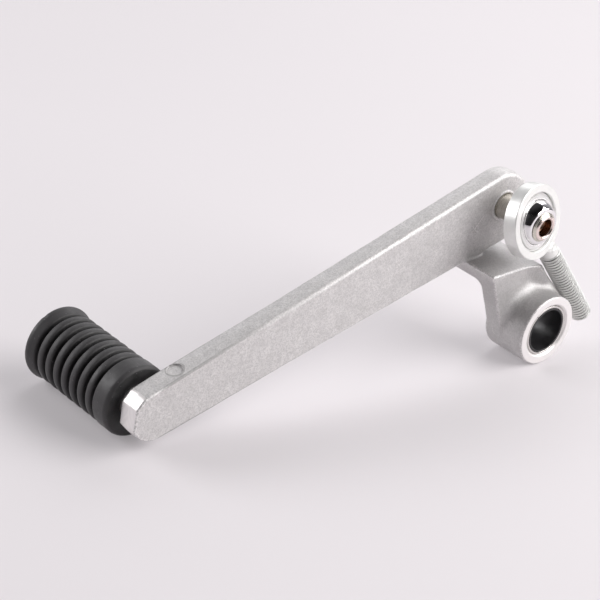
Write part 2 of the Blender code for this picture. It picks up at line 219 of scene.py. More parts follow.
class BushSettings(bpy.types.PropertyGroup):
    """The rolled steel bush and its lining."""

    bore_radius: length("Bore", "Radius of the lined bore", 0.0060)
    lining_radius: length("Lining", "Outer radius of the lining", 0.0065)
    shell_inner: length("Shell inside", "Inner radius of the steel shell", 0.0066)
    shell_outer: length("Shell outside", "Outer radius of the steel shell", 0.0072)
    recess: length("Recess", "Depth of the bush below the boss's faces", 0.0003)
    seam: angle("Seam", "Place of the rolled shell's seam round the bore", 117.0)
    seam_gap: length("Seam gap", "Width of the seam", 0.00022)
    colour: tint("Shell steel", "Colour of the steel shell", (0.74, 0.72, 0.70))
    lining_colour: tint("Lining", "Colour of the low-friction lining", (0.012, 0.0112, 0.0125))


class StudSettings(bpy.types.PropertyGroup):
    """The link stud."""

    radius: length("Stud", "Radius of the stud between bar and ball", 0.0034)
    tail_radius: length("Tail", "Radius of the stud inside the ball", 0.0027)
    flare_radius: length("Flare", "Radius of the flared end", 0.0041)
    flare_length: length("Flare length", "Length of the flared end", 0.0011)
    hole_radius: length("Hole", "Radius of the hole in the flared end", 0.00240)
    hole_depth: length("Hole depth", "Depth of the hole in the flared end", 0.0028)
    colour: tint("Stud steel", "Colour of the turned steel", (0.70, 0.67, 0.60))
    flare_colour: tint("Flared end", "Colour of the burnished end", (0.86, 0.74, 0.70))
    # Brown, darkened as painted shade inside the hole
    hole_colour: tint("Stud hole", "Colour inside the hole", (0.27, 0.175, 0.125))


class RodEndSettings(bpy.types.PropertyGroup):
    """The ball, its race and the threaded eye."""

    ball_radius: length("Ball", "Radius of the ball", 0.00635)
    ball_width: length("Ball width", "Width of the ball between its flats", 0.0078)
    ball_gap: length("Ball gap", "Space between ball and race", 0.00009)
    race_radius: length("Race", "Outer radius of the race", 0.0079)
    race_width: length("Race width", "Width of the race", 0.0035)
    bore_radius: length("Eye bore", "Radius of the eye's bore", 0.0080)
    eye_radius: length("Eye", "Outer radius of the eye", 0.0102)
    eye_width: length("Eye width", "Width of the eye", 0.0040)
    eye_edge: length("Eye edge", "Rounding of the eye's outer edges", 0.00028)
    neck_radius: length("Neck", "Radius of the plain neck below the eye", 0.00270)
    thread_start: length("Thread start", "Start of the thread below the ball's centre", 0.0122)
    thread_end: length("Thread end", "Tip of the shank below the ball's centre", 0.0400)
    crest_radius: length("Thread crest", "Radius of the thread's crests", 0.00296)
    thread_depth: length("Thread depth", "Depth of the thread", 0.00058)
    pitch: length("Pitch", "Pitch of the thread", 0.0010)
    tip_radius: length("Tip", "Radius of the shank's flat tip", 0.0021)
    colour: tint("Zinc", "Colour of the zinc plating", (0.87, 0.872, 0.855))
    ball_colour: tint("Chrome", "Colour of the ball", (0.82, 0.81, 0.82))
    race_colour: tint("Race steel", "Colour of the race", (0.82, 0.815, 0.81))


class StageSettings(bpy.types.PropertyGroup):
    """The floor, the lights and the camera."""

    floor_width: length("Floor", "Width of the floor", 4.0)
    floor_colour: tint("Floor colour", "Colour of the pale floor", (0.565, 0.540, 0.556))
    floor_glow: FloatProperty(
        name="Floor glow", description="Light that the lit paper gives off", default=0.375
    )
    azimuth: angle("Azimuth", "Direction of the camera's view, from +Y towards +X", 45.02)
    elevation: angle("Elevation", "Height of the camera above the horizon", 28.11)
    roll: angle("Roll", "Turn of the camera about its view", -8.01)
    distance: length("Distance", "From the camera to its aim", 0.5171)
    lens: FloatProperty(name="Lens", description="Focal length for a 36 mm sensor", default=121.57)


# Shaping by distance fields
def filleted(first, second, radius):
    """Two bodies joined with a round fillet."""
    reach = np.hypot(np.maximum(radius - first, 0.0), np.maximum(radius - second, 0.0))
    return np.maximum(radius, np.minimum(first, second)) - reach


def eased_cut(first, second, radius):
    """What two bodies share, with the edge between them rounded."""
    reach = np.hypot(np.maximum(radius + first, 0.0), np.maximum(radius + second, 0.0))
    return np.minimum(-radius, np.maximum(first, second)) + reach


def beyond(x, z, start, end):
    """Distance past the line from start to end, on its left side."""
    along_x = end[0] - start[0]
    along_z = end[1] - start[1]
    reach = math.hypot(along_x, along_z)
    return ((z - start[1]) * along_x - (x - start[0]) * along_z) / reach


def tangent_point(point, centre, radius, side):
    """Where a line from a point touches a circle, on its left (side 1) or right (side -1)."""
    across = Vector(point) - Vector(centre)
    turn = side * math.acos(radius / across.length)
    direction = across.normalized()
    direction.rotate(Matrix.Rotation(turn, 2))
    return tuple(Vector(centre) + radius * direction)


def smooth_step(low, high, value):
    part = np.clip((value - low) / (high - low), 0.0, 1.0)
    return part * part * (3.0 - 2.0 * part)


def mixed(first, second, part):
    return first + (second - first) * part


def unevenness(x, y, z):
    """Slow waves, about 7 to 15 mm long, as the surface of a casting has."""
    first = np.sin(410.0 * x + 2.0 * np.sin(230.0 * z) + 0.6)
    second = np.sin(690.0 * z + 1.7 * np.sin(310.0 * x) + 520.0 * y)
    third = np.sin(950.0 * x - 780.0 * z + 640.0 * y + 1.9)
    return (first + 0.7 * second + 0.5 * third) / 2.2


# Sizes of the bar: turns round the toe in degrees, and ranges over which its edges change
BULGE_START = (100.0, 125.0)
BULGE_END = (205.0, 180.0)
FACET_EDGE = 0.0002
UNDER_SIDE = (0.001, -0.005)
TOE_REACH = (0.004, 0.045)


def toe_facets(s, x, z):
    """Distances beyond the toe's flat and its slanted corner."""
    facets = (s.toe_flat_turn, s.toe_flat), (s.toe_corner_turn, s.toe_corner)
    return [x * math.cos(turn) + z * math.sin(turn) - reach for turn, reach in facets]


def bar_field(s, x, y, z):
    """The flat bar: two round ends, drafted sides, rounded edges and the toe's facets."""
    across = np.abs(z - s.rise)
    sine = (s.toe_radius - s.link_radius) / s.length
    cosine = math.sqrt(1.0 - sine * sine)
    along = cosine * x - sine * across
    bearing = np.degrees(np.arctan2(z - s.rise, x)) % 360.0
    bulge = smooth_step(*BULGE_START, bearing) * smooth_step(*BULGE_END, bearing)
    toe = np.hypot(across, x) - s.toe_radius - s.toe_bulge * bulge
    link = np.hypot(across, x - s.length) - s.link_radius
    flank = cosine * across + sine * x - s.toe_radius
    outline = np.where(along < 0.0, toe, np.where(along > cosine * s.length, link, flank))
    for facet in toe_facets(s, x, z):
        outline = eased_cut(outline, facet, FACET_EDGE)
    depth = np.abs(y - BAR_THICKNESS / 2)
    outline = outline + (depth - BAR_THICKNESS / 4) * math.tan(s.draft)
    edge = mixed(s.edge, s.under_edge, smooth_step(*UNDER_SIDE, z))
    edge = mixed(s.toe_edge, edge, smooth_step(*TOE_REACH, x))
    return eased_cut(outline, depth - BAR_THICKNESS / 2, edge)


def shank_depth(z):
    """Where the resting shank's axis stands from front to back at a height z."""
    return STUD.y + (z - STUD.z) * SHANK.y / SHANK.z


def from_shank(x, y, z):
    """Distance from the axis of the resting shank, in the bar's frame."""
    gap = x - STUD.x, y - STUD.y, z - STUD.z
    reach = gap[0] * SHANK.x + gap[1] * SHANK.y + gap[2] * SHANK.z
    square = gap[0] ** 2 + gap[1] ** 2 + gap[2] ** 2 - reach**2
    return np.sqrt(np.maximum(square, 0.0))


# Sizes of shelf, web and boss; the feet are the circles that the web's sides touch
LEFT_FOOT = BOSS_RADIUS - 0.0003
RIGHT_FOOT = BOSS_RADIUS + 0.0002
BEND_INSIDE = 0.0022
BEND_OUTSIDE = 0.0005
SIDE_CORNER = 0.0005
WALL_EDGE = 0.0006
WALL_INSET = 0.0006
SHANK_MARGIN = 0.00035
BARREL_TAPER = 0.006
BARREL_MIDDLE = (0.0080, 0.0120)
FACE_STOCK = 0.001
REAR_EDGE = 0.0004
UPWARD = (0.25, 0.90)
AXIS_LIMIT = 0.001
FOOT_FILLET = 0.0015
FOOT_INSET = 0.0001
RELIEF_EDGE = 0.0003


def bracket_field(s, x, y, z, radial):
    """The shelf and the web as one angled wall, with the boss at its foot."""
    slope = math.tan(PIVOT_FALL)
    pivot = (PIVOT_ALONG, -PIVOT_DROP)
    upper_left = (s.shelf_left, -s.shelf_drop)
    upper_right = (s.shelf_right, -s.shelf_drop - (s.shelf_right - s.shelf_left) * slope)
    left = beyond(x, z, tangent_point(upper_left, pivot, LEFT_FOOT, 1), upper_left)
    right = beyond(x, z, upper_right, tangent_point(upper_right, pivot, RIGHT_FOOT, -1))
    sides = eased_cut(left, right, SIDE_CORNER)
    top = (z + s.shelf_drop + (x - s.shelf_left) * slope) * math.cos(PIVOT_FALL)
    below = -z - PIVOT_DROP
    void = eased_cut(-y - s.web_back, top + s.shelf_thickness, BEND_INSIDE)
    rise = np.maximum(-shank_depth(z) - SHANK_MARGIN - s.web_front, 0.0)
    rise = rise * smooth_step(s.shank_rim, 0.0, -right)
    wall = eased_cut(-y - s.web_front - rise, top, BEND_OUTSIDE)
    for cut in (-void, sides, y - BAR_THICKNESS + WALL_INSET):
        wall = eased_cut(wall, cut, WALL_EDGE)
    wall = np.maximum(wall, below)
    barrel = radial - BOSS_RADIUS - (y + BOSS_BACK) * BARREL_TAPER
    front = np.maximum(barrel, np.maximum(-y - BOSS_FRONT - FACE_STOCK, y + BARREL_MIDDLE[0]))
    rear = np.maximum(eased_cut(barrel, y + BOSS_BACK, REAR_EDGE), -y - BARREL_MIDDLE[1])
    upward = smooth_step(*UPWARD, (z + PIVOT_DROP) / np.maximum(radial, AXIS_LIMIT))
    body = filleted(wall, front, mixed(s.side_fillet, s.boss_fillet, upward))
    outline = filleted(np.maximum(sides, np.maximum(top, below)), barrel, FOOT_FILLET)
    body = np.maximum(body, outline - FOOT_INSET)
    body = eased_cut(body, s.shank_relief - from_shank(x, y, z), RELIEF_EDGE)
    return np.minimum(body, rear)


# Sizes of the spigot and its bead
BEAD_SETBACK = 0.0055
BEAD_HEIGHT = 0.0007
BEAD_EASE = (0.0016, 0.0008)
SPIGOT_EDGE = 0.0006
SPIGOT_ROOT = 0.001


def spigot_field(s, x, y, z):
    """The spigot for the rubber, with its retaining bead."""
    from_bead = np.abs(y - (s.spigot_end - BEAD_SETBACK))
    shaft = np.hypot(x, z) - s.spigot_radius - BEAD_HEIGHT * smooth_step(*BEAD_EASE, from_bead)
    return np.maximum(eased_cut(shaft, y - s.spigot_end, SPIGOT_EDGE), SPIGOT_ROOT - y)


# Small marks of the casting, and what is machined
SCAR_MIDDLE = (0.1060, -0.0006)
SCAR_ENDS = ((0.1098, 0.0021), (0.1037, -0.0011), (0.1075, -0.0021), (0.1057, 0.0007))
SCAR_RADIUS = 0.00020
SCAR_TAPER = 0.5
SCAR_FILLET = 0.0003
EJECTOR_PLACE = (0.0090, 0.0034)
EJECTOR_RADIUS = 0.0021
EJECTOR_FLOOR = 0.00728
EJECTOR_EDGE = 0.00012
RIM_OUT = 0.0001
RIM_UP = 0.0002
RIM_RADIUS = 0.00010
RIM_FILLET = 0.0002
SPIGOT_FILLET = 0.0006
BURR_RING = 0.0040
BURR_RADIUS = 0.00032
BURR_FILLET = 0.0003
FACE_CHAMFER = 0.00035
STUD_HOLE = 0.0035


def ridge_field(x, y, z, start, end):
    """A low, tapering ridge along the bar's face between two (x, z) points."""
    across = np.stack((x - start[0], y, z - start[1]))
    along = np.array((end[0] - start[0], 0.0, end[1] - start[1]))
    part = (across[0] * along[0] + across[2] * along[2]) / (along @ along)
    part = np.clip(part, 0.0, 1.0)
    gap = across[0] - part * along[0], across[1], across[2] - part * along[2]
    return np.sqrt(gap[0] ** 2 + gap[1] ** 2 + gap[2] ** 2) - SCAR_RADIUS * (1.0 - SCAR_TAPER * part)


def casting_field(s):
    """The whole casting: what is cast, then what is machined."""

    def field(x, y, z):
        radial = np.hypot(x - PIVOT_ALONG, z + PIVOT_DROP)
        from_stud = np.hypot(x - STUD.x, z - STUD.z)
        body = filleted(bar_field(s, x, y, z), bracket_field(s, x, y, z, radial), s.bar_fillet)
        body = np.maximum(body, y - BAR_THICKNESS)
        body = filleted(body, spigot_field(s, x, y, z), SPIGOT_FILLET)
        body = body + s.wobble * unevenness(x, y, z)
        for end in SCAR_ENDS:
            body = filleted(body, ridge_field(x, y, z, SCAR_MIDDLE, end), SCAR_FILLET)
        pit = np.hypot(x - EJECTOR_PLACE[0], y - EJECTOR_PLACE[1]) - EJECTOR_RADIUS
        rim = np.hypot(pit - RIM_OUT, z - EJECTOR_FLOOR - RIM_UP) - RIM_RADIUS
        body = filleted(body, rim, RIM_FILLET)
        body = eased_cut(body, -np.maximum(pit, EJECTOR_FLOOR - z), EJECTOR_EDGE)
        burr = np.hypot(from_stud - BURR_RING, y) - BURR_RADIUS
        body = filleted(body, burr, BURR_FILLET)
        face = -y - BOSS_FRONT
        chamfer = np.where(y < -BARREL_MIDDLE[1], radial - BOSS_RADIUS + face, -1.0)
        body = np.maximum(body, face)
        body = np.maximum(body, (chamfer + FACE_CHAMFER) * math.sqrt(0.5))
        mouth = s.seat_chamfer + np.maximum(face, y + BOSS_BACK)
        seat = s.seat_radius + np.clip(mouth, 0.0, s.seat_chamfer)
        body = np.maximum(body, seat - radial)
        return np.maximum(body, STUD_HOLE - from_stud)

    return field


# Sizes of the eye
NECK_OVERLAP = 0.0008
NECK_FILLET = 0.0012
BORE_CHAMFER = 0.00015


def eye_field(s):
    """The eye and its neck, about the eye's own axis."""

    def field(x, y, z):
        radial = np.hypot(x, z)
        flat = np.abs(y) - s.eye_width / 2
        ring = eased_cut(radial - s.eye_radius, flat, s.eye_edge)
        start = s.eye_radius - NECK_OVERLAP
        dome = np.sqrt(x * x + y * y + (z + start + s.neck_radius) ** 2) - s.neck_radius
        neck = np.where(z > -start - s.neck_radius, dome, np.hypot(x, y) - s.neck_radius)
        neck = np.maximum(neck, -z - s.thread_start - NECK_OVERLAP)
        body = filleted(ring, neck, NECK_FILLET)
        mouth = s.bore_radius + np.clip(BORE_CHAMFER + flat, 0.0, BORE_CHAMFER)
        return np.maximum(body, mouth - radial)

    return field


# Meshing a distance field
def slopes(field, points, step):
    """The field's direction at each point."""
    result = np.empty_like(points)
    for axis in range(3):
        shift = np.zeros(3)
        shift[axis] = step
        ahead = field(*(points + shift).T)
        behind = field(*(points - shift).T)
        result[:, axis] = ahead - behind
    return result / np.maximum(np.linalg.norm(result, axis=1, keepdims=True), 1e-12)


def graded(*stops):
    """Grid lines from the first place to the last; each later stop is a place and the step up to it."""
    lines = [stops[0]]
    for place, step in stops[1:]:
        count = max(1, round((place - lines[-1]) / step))
        lines.extend(np.linspace(lines[-1], place, count + 1)[1:])
    return np.array(lines)


def sample(field, rows):
    values = np.empty([len(row) for row in rows], np.float32)
    for start in range(0, len(rows[0]), SLAB):
        grid = np.meshgrid(rows[0][start : start + SLAB], rows[1], rows[2], indexing="ij")
        values[start : start + SLAB] = field(*grid)
    return values


def skin(field, rows):
    """A closed quad mesh of a field: one corner in every crossed cell, where the crossings' planes meet."""
    values = sample(field, rows)
    places, planes, owners, quads = [], [], [], []
    for axis in range(3):
        after = [slice(None)] * 3
        after[axis] = slice(1, None)
        before = [slice(None)] * 3
        before[axis] = slice(None, -1)
        corner = np.argwhere((values[tuple(before)] < 0.0) != (values[tuple(after)] < 0.0))
        ahead = corner.copy()
        ahead[:, axis] += 1
        near = values[tuple(corner.T)].astype(float)
        far = values[tuple(ahead.T)].astype(float)
        spot = np.stack([rows[side][corner[:, side]] for side in range(3)], axis=1)
        reach = rows[axis][ahead[:, axis]] - spot[:, axis]
        spot[:, axis] += reach * near / (near - far)
        normal = slopes(field, spot, CROSSING_STEP)
        ring = []
        for step_b, step_c in ((0, 0), (1, 0), (1, 1), (0, 1)):
            owner = corner.copy()
            owner[:, (axis + 1) % 3] -= step_b
            owner[:, (axis + 2) % 3] -= step_c
            ring.append(np.ravel_multi_index(tuple(owner.T), values.shape))
            places.append(spot)
            planes.append(normal)
        owners.extend(ring)
        loop = np.stack(ring, axis=1)
        quads.append(np.where((near < 0.0)[:, None], loop, loop[:, ::-1]))
    cells, index = np.unique(np.concatenate(owners), return_inverse=True)
    corners = meeting_points(np.concatenate(places), np.concatenate(planes), index, len(cells))
    steps = np.unravel_index(cells, values.shape)
    low = np.stack([rows[side][steps[side]] for side in range(3)], axis=1)
    high = np.stack([rows[side][steps[side] + 1] for side in range(3)], axis=1)
    corners = np.clip(corners, low, high)
    for _ in range(SNAP_ROUNDS):
        gap = np.clip(field(*corners.T), -SNAP_REACH, SNAP_REACH)
        corners = corners - gap[:, None] * slopes(field, corners, SNAP_STEP)
    return corners, np.searchsorted(cells, np.concatenate(quads))


def meeting_points(places, planes, index, count):
    """The point nearest to all planes of each group, drawn a little towards the group's middle."""

    def total(values):
        return np.bincount(index, values, count)

    members = total(np.ones(len(index)))
    middle = np.stack([total(places[:, axis]) / members for axis in range(3)], axis=1)
    matrix = np.empty((count, 3, 3))
    goal = np.empty((count, 3))
    height = np.einsum("ij,ij->i", planes, places)
    for row in range(3):
        goal[:, row] = total(planes[:, row] * height)
        for column in range(3):
            matrix[:, row, column] = total(planes[:, row] * planes[:, column])
    goal = goal - np.einsum("ijk,ik->ij", matrix, middle)
    matrix = matrix + MIDDLE_PULL * np.eye(3)
    return middle + np.linalg.solve(matrix, goal[:, :, None])[:, :, 0]


def curving(field, points, reach):
    """How far the surface bends at each point: above 0 at an outer edge, below 0 in a hollow."""
    total = np.zeros(len(points))
    for axis in range(3):
        shift = np.zeros(3)
        shift[axis] = reach
        total += field(*(points + shift).T) + field(*(points - shift).T)
    return total / (6.0 * reach)


# Meshes and objects
def plain_mesh(name, corners, faces, place):
    mesh = bpy.data.meshes.new(name)
    mesh.from_pydata(corners.tolist(), [], faces.tolist())
    mesh.transform(place)
    return mesh


def shape_mesh(name, shape, place):
    """A mesh from a bmesh, welded, with its faces turned outwards."""
    bmesh.ops.remove_doubles(shape, verts=shape.verts, dist=WELD)
    bmesh.ops.recalc_face_normals(shape, faces=shape.faces)
    mesh = bpy.data.meshes.new(name)
    shape.to_mesh(mesh)
    shape.free()
    mesh.transform(place)
    return mesh


def linked(name, data):
    """A new object in the scene."""
    thing = bpy.data.objects.new(name, data)
    bpy.context.scene.collection.objects.link(thing)
    return thing


def new_piece(name, mesh, *materials):
    mesh.shade_smooth()
    mesh.set_sharp_from_angle(angle=SHARP_ANGLE)
    for material in materials:
        mesh.materials.append(material)
    return linked(name, mesh)


def hand_over(piece, body, node):
    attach(piece, body)
    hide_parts(node)


def store(mesh, name, values):
    attribute = mesh.attributes.new(name, "FLOAT", "POINT")
    attribute.data.foreach_set("value", np.asarray(values, np.float32))


def eased(points, ease, steps=4, closed=True):
    """A profile with its corners rounded; an open one keeps its two ends."""
    result = []
    for number, point in enumerate(points):
        if not closed and number in (0, len(points) - 1):
            result.append(tuple(point))
            continue
        corner = Vector(point)
        back = Vector(points[number - 1]) - corner
        ahead = Vector(points[(number + 1) % len(points)]) - corner
        reach = min(ease, CORNER_SHARE * back.length, CORNER_SHARE * ahead.length)
        start = corner + back.normalized() * reach
        end = corner + ahead.normalized() * reach
        for step in range(steps + 1):
            part = step / steps
            first = start.lerp(corner, part)
            second = corner.lerp(end, part)
            result.append(tuple(first.lerp(second, part)))
    return result


def turned(shape, profile, turn, ring=False, gap=0.0, gap_at=0.0):
    """Adds a surface of revolution about Y from (radius, y) points; a gap leaves it open round the turn."""
    open_turn = gap > 0.0
    columns = turn + 1 if open_turn else turn
    rows = []
    for radius, along in profile:
        if radius == 0.0:
            rows.append([shape.verts.new((0.0, along, 0.0))] * columns)
            continue
        row = []
        for step in range(columns):
            place = gap_at + gap / 2 + (math.tau - gap) * step / turn
            row.append(shape.verts.new((radius * math.cos(place), along, radius * math.sin(place))))
        rows.append(row)
    pairs = list(zip(rows, rows[1:]))
    if ring:
        pairs.append((rows[-1], rows[0]))
    for first, second in pairs:
        for step in range(turn):
            after = step + 1 if open_turn else (step + 1) % turn
            corners = [first[step], first[after], second[after], second[step]]
            corners = list(dict.fromkeys(corners))
            if len(corners) > 2:
                shape.faces.new(corners)
    if open_turn:
        shape.faces.new([row[0] for row in rows])
        shape.faces.new([row[-1] for row in rows])
    return shape


def ball_zone(radius, half_width, steps):
    """Points along a ball's side between two flats, from +Y to -Y."""
    limit = math.asin(half_width / radius)
    points = []
    for step in range(steps + 1):
        place = limit - 2.0 * limit * step / steps
        points.append((radius * math.cos(place), radius * math.sin(place)))
    return points


def mirrored(points):
    """Half of a profile, followed by its mirror image across y = 0."""
    return points + [(radius, -along) for radius, along in reversed(points)]


# Node trees
def add(tree, kind, values=None, links=None, **settings):
    node = tree.nodes.new(kind)
    for name, value in settings.items():
        setattr(node, name, value)
    for socket, value in (values or {}).items():
        node.inputs[socket].default_value = value
    for socket, source in (links or {}).items():
        tree.links.new(source, node.inputs[socket])
    return node


def math_step(tree, operation, *terms):
    """One step of arithmetic on numbers and outputs."""
    node = tree.nodes.new("ShaderNodeMath")
    node.operation = operation
    for index, term in enumerate(terms):
        if isinstance(term, (int, float)):
            node.inputs[index].default_value = term
        else:
            tree.links.new(term, node.inputs[index])
    return node.outputs[0]


def spread(tree, source, low, high, to_low=0.0, to_high=1.0):
    """A number moved smoothly from one range to another, and kept inside it."""
    values = {"From Min": low, "From Max": high, "To Min": to_low, "To Max": to_high}
    node = add(tree, "ShaderNodeMapRange", values, {"Value": source}, interpolation_type="SMOOTHSTEP")
    return node.outputs["Result"]


def geometry_tree(name, inputs):
    """A tree with a geometry input and named inputs for its sizes."""
    tree = bpy.data.node_groups.new(name, "GeometryNodeTree")
    tree.interface.new_socket("Geometry", in_out="INPUT", socket_type="NodeSocketGeometry")
    for label, kind in inputs:
        tree.interface.new_socket(label, in_out="INPUT", socket_type=kind)
    tree.interface.new_socket("Geometry", in_out="OUTPUT", socket_type="NodeSocketGeometry")
    return tree, tree.nodes.new("NodeGroupInput").outputs


def close_tree(tree, geometry, material):
    real = add(tree, "GeometryNodeRealizeInstances", None, {"Geometry": geometry})
    weld = add(tree, "GeometryNodeMergeByDistance", {"Distance": WELD}, {"Geometry": real.outputs[0]})
    links = {"Geometry": weld.outputs[0], "Material": material}
    painted = add(tree, "GeometryNodeSetMaterial", None, links)
    add(tree, "NodeGroupOutput", None, {"Geometry": painted.outputs[0]})


def grown(name, tree, mesh, values):
    """The plain mesh that a tree makes of a mesh with these inputs."""
    carrier = linked(name, mesh)
    modifier = carrier.modifiers.new(name, "NODES")
    modifier.node_group = tree
    for item in tree.interface.items_tree:
        if item.in_out == "INPUT" and item.name in values:
            modifier[item.identifier] = values[item.name]
    return taken_from(carrier)


def taken_from(thing):
    """The plain mesh of an object with its modifiers; the object itself goes."""
    bpy.context.view_layer.update()
    graph = bpy.context.evaluated_depsgraph_get()
    mesh = bpy.data.meshes.new_from_object(thing.evaluated_get(graph))
    if not mesh.polygons:
        raise RuntimeError(f"{thing.name} came out empty")
    thing.modifiers.clear()
    bpy.data.objects.remove(thing)
    return mesh


def rib_tree():
    """Copies one rib along the peg."""
    inputs = (("Ribs", "NodeSocketInt"), ("Pitch", "NodeSocketFloat"), ("Finish", "NodeSocketMaterial"))
    tree, given = geometry_tree("rubber_ribs", inputs)
    step = add(tree, "ShaderNodeCombineXYZ", None, {"Y": given["Pitch"]})
    links = {"Count": given["Ribs"], "Offset": step.outputs[0]}
    line = add(tree, "GeometryNodeMeshLine", None, links, mode="OFFSET")
    links = {"Points": line.outputs[0], "Instance": given["Geometry"]}
    ribs = add(tree, "GeometryNodeInstanceOnPoints", None, links)
    close_tree(tree, ribs.outputs[0], given["Finish"])
    return tree


# The thread: rows to a turn, steps round it, and the shares of a pitch for half a crest and a flank
THREAD_STEPS = 16
THREAD_TURN = 56
THREAD_SIZES = ("Start", "Length", "Pitch", "Crest Radius", "Depth", "Neck Radius", "Tip Radius")
HALF_CREST = 0.0625
FLANK = 0.3125
RUN_IN = (0.0003, 0.0016)
INSIDE_GRID = 0.49999


def thread_tree():
    """A threaded shank along -Z: every row of a grid follows the thread's helix."""
    inputs = [(label, "NodeSocketFloat") for label in THREAD_SIZES]
    inputs += [("Rows", "NodeSocketInt"), ("Turn Steps", "NodeSocketInt"), ("Finish", "NodeSocketMaterial")]
    tree, given = geometry_tree("thread_turns", inputs)
    pitch = given["Pitch"]
    neck = given["Neck Radius"]

    def calc(operation, *terms):
        return math_step(tree, operation, *terms)

    links = {"Vertices X": given["Rows"], "Vertices Y": calc("ADD", given["Turn Steps"], 1.0)}
    grid = add(tree, "GeometryNodeMeshGrid", {"Size X": 1.0, "Size Y": 1.0}, links)
    place = add(tree, "GeometryNodeInputPosition").outputs[0]
    parts = add(tree, "ShaderNodeSeparateXYZ", None, {0: place})
    down = calc("ADD", parts.outputs["X"], 0.5)
    round_turn = calc("ADD", parts.outputs["Y"], 0.5)

    # The first and the last row close the ends and lie beside their neighbours
    row = calc("MULTIPLY", down, calc("SUBTRACT", given["Rows"], 1.0))
    row = calc("MAXIMUM", calc("SUBTRACT", row, 1.0), 0.0)
    row = calc("MINIMUM", row, calc("SUBTRACT", given["Rows"], 3.0))
    row_height = calc("DIVIDE", pitch, THREAD_STEPS)
    row_place = calc("SUBTRACT", calc("MULTIPLY", row, row_height), pitch)
    lead = calc("MULTIPLY", round_turn, pitch)
    along = calc("MAXIMUM", calc("ADD", row_place, lead), 0.0)
    along = calc("MINIMUM", along, given["Length"])

    # The profile of one turn: a flat crest, straight flanks and a wider flat root
    phase = calc("FRACT", calc("DIVIDE", row, THREAD_STEPS))
    off_crest = calc("ABSOLUTE", calc("SUBTRACT", phase, 0.5))
    flank = calc("DIVIDE", calc("SUBTRACT", off_crest, HALF_CREST), FLANK)
    flank = calc("MINIMUM", calc("MAXIMUM", flank, 0.0), 1.0)
    cut = calc("MULTIPLY", flank, given["Depth"])
    radius = calc("SUBTRACT", given["Crest Radius"], cut)

    # The thread runs out of the neck and ends in a chamfered tip
    run_in = spread(tree, along, *RUN_IN)
    radius = calc("MULTIPLY_ADD", calc("SUBTRACT", radius, neck), run_in, neck)
    left = calc("SUBTRACT", given["Length"], along)
    radius = calc("MINIMUM", radius, calc("ADD", given["Tip Radius"], left))
    inside = calc("LESS_THAN", calc("ABSOLUTE", parts.outputs["X"]), INSIDE_GRID)
    radius = calc("MULTIPLY", radius, inside)

    turn = calc("MULTIPLY", round_turn, math.tau)
    x = calc("MULTIPLY", radius, calc("COSINE", turn))
    y = calc("MULTIPLY", radius, calc("SINE", turn))
    z = calc("MULTIPLY", calc("ADD", along, given["Start"]), -1.0)
    spot = add(tree, "ShaderNodeCombineXYZ", None, {"X": x, "Y": y, "Z": z})
    links = {"Geometry": grid.outputs["Mesh"], "Position": spot.outputs[0]}
    moved = add(tree, "GeometryNodeSetPosition", None, links)
    close_tree(tree, moved.outputs[0], given["Finish"])
    return tree


# Materials
class Finish:
    """A material in the making, whose tone starts at a share of its colour and takes layer over layer."""

    def __init__(self, name, metallic, colour, share=1.0):
        self.material = bpy.data.materials.new(name)
        self.material.use_nodes = True
        self.tree = self.material.node_tree
        self.shader = self.tree.nodes["Principled BSDF"]
        self.place = add(self.tree, "ShaderNodeTexCoord").outputs["Object"]
        self.colour = colour
        self.tone = share
        self.set("Metallic", metallic)

    def set(self, socket, value):
        self.shader.inputs[socket].default_value = value

    def link(self, socket, source):
        self.tree.links.new(source, self.shader.inputs[socket])

    def calc(self, operation, *terms):
        return math_step(self.tree, operation, *terms)

    def spread(self, source, low, high, to_low=0.0, to_high=1.0):
        return spread(self.tree, source, low, high, to_low, to_high)

    def carried(self, name):
        return add(self.tree, "ShaderNodeAttribute", attribute_name=name).outputs["Fac"]

    def noise(self, scale, detail, rough=0.55):
        values = {"Scale": scale, "Detail": detail, "Roughness": rough}
        return add(self.tree, "ShaderNodeTexNoise", values, {"Vector": self.place}).outputs["Fac"]

    def turning_marks(self, radius, per_metre):
        """Uneven rings round an axis, as a lathe leaves them."""
        values = {"Scale": per_metre, "Detail": 2.0, "Roughness": 0.6}
        rings = add(self.tree, "ShaderNodeTexNoise", values, {"W": radius}, noise_dimensions="1D")
        return rings.outputs["Fac"]

    def from_axis(self, centre, turn=UNTURNED):
        """Distance from an axis along Y through a centre, and the depth along it."""
        values = {"Location": centre, "Rotation": turn}
        links = {"Vector": self.place}
        mapping = add(self.tree, "ShaderNodeMapping", values, links, vector_type="TEXTURE")
        parts = add(self.tree, "ShaderNodeSeparateXYZ", None, {0: mapping.outputs[0]}).outputs
        across = self.calc("MULTIPLY", parts["X"], parts["X"])
        across = self.calc("MULTIPLY_ADD", parts["Z"], parts["Z"], across)
        return self.calc("SQRT", across), parts["Y"]

    def blend(self, factor, first, second):
        """Two tones mixed; a tone is an output, a colour, or a share of the finish's own colour."""
        node = add(self.tree, "ShaderNodeMix", None, {0: factor}, data_type="RGBA")
        for index, tone in ((6, first), (7, second)):
            if isinstance(tone, bpy.types.NodeSocket):
                self.tree.links.new(tone, node.inputs[index])
                continue
            if isinstance(tone, float):
                tone = [min(1.0, part * tone) for part in self.colour]
            node.inputs[index].default_value = (*tone, 1.0)
        return node.outputs[2]

    def layer(self, factor, tone):
        """Lays a tone over what is there."""
        self.tone = self.blend(factor, self.tone, tone)

    def bump(self, height, strength, distance, under=None):
        links = {"Height": height}
        if under:
            links["Normal"] = under
        values = {"Strength": strength, "Distance": distance}
        return add(self.tree, "ShaderNodeBump", values, links).outputs["Normal"]

    def done(self, rough, normal):
        self.link("Base Color", self.tone)
        self.link("Roughness", rough)
        self.link("Normal", normal)
        return self.material
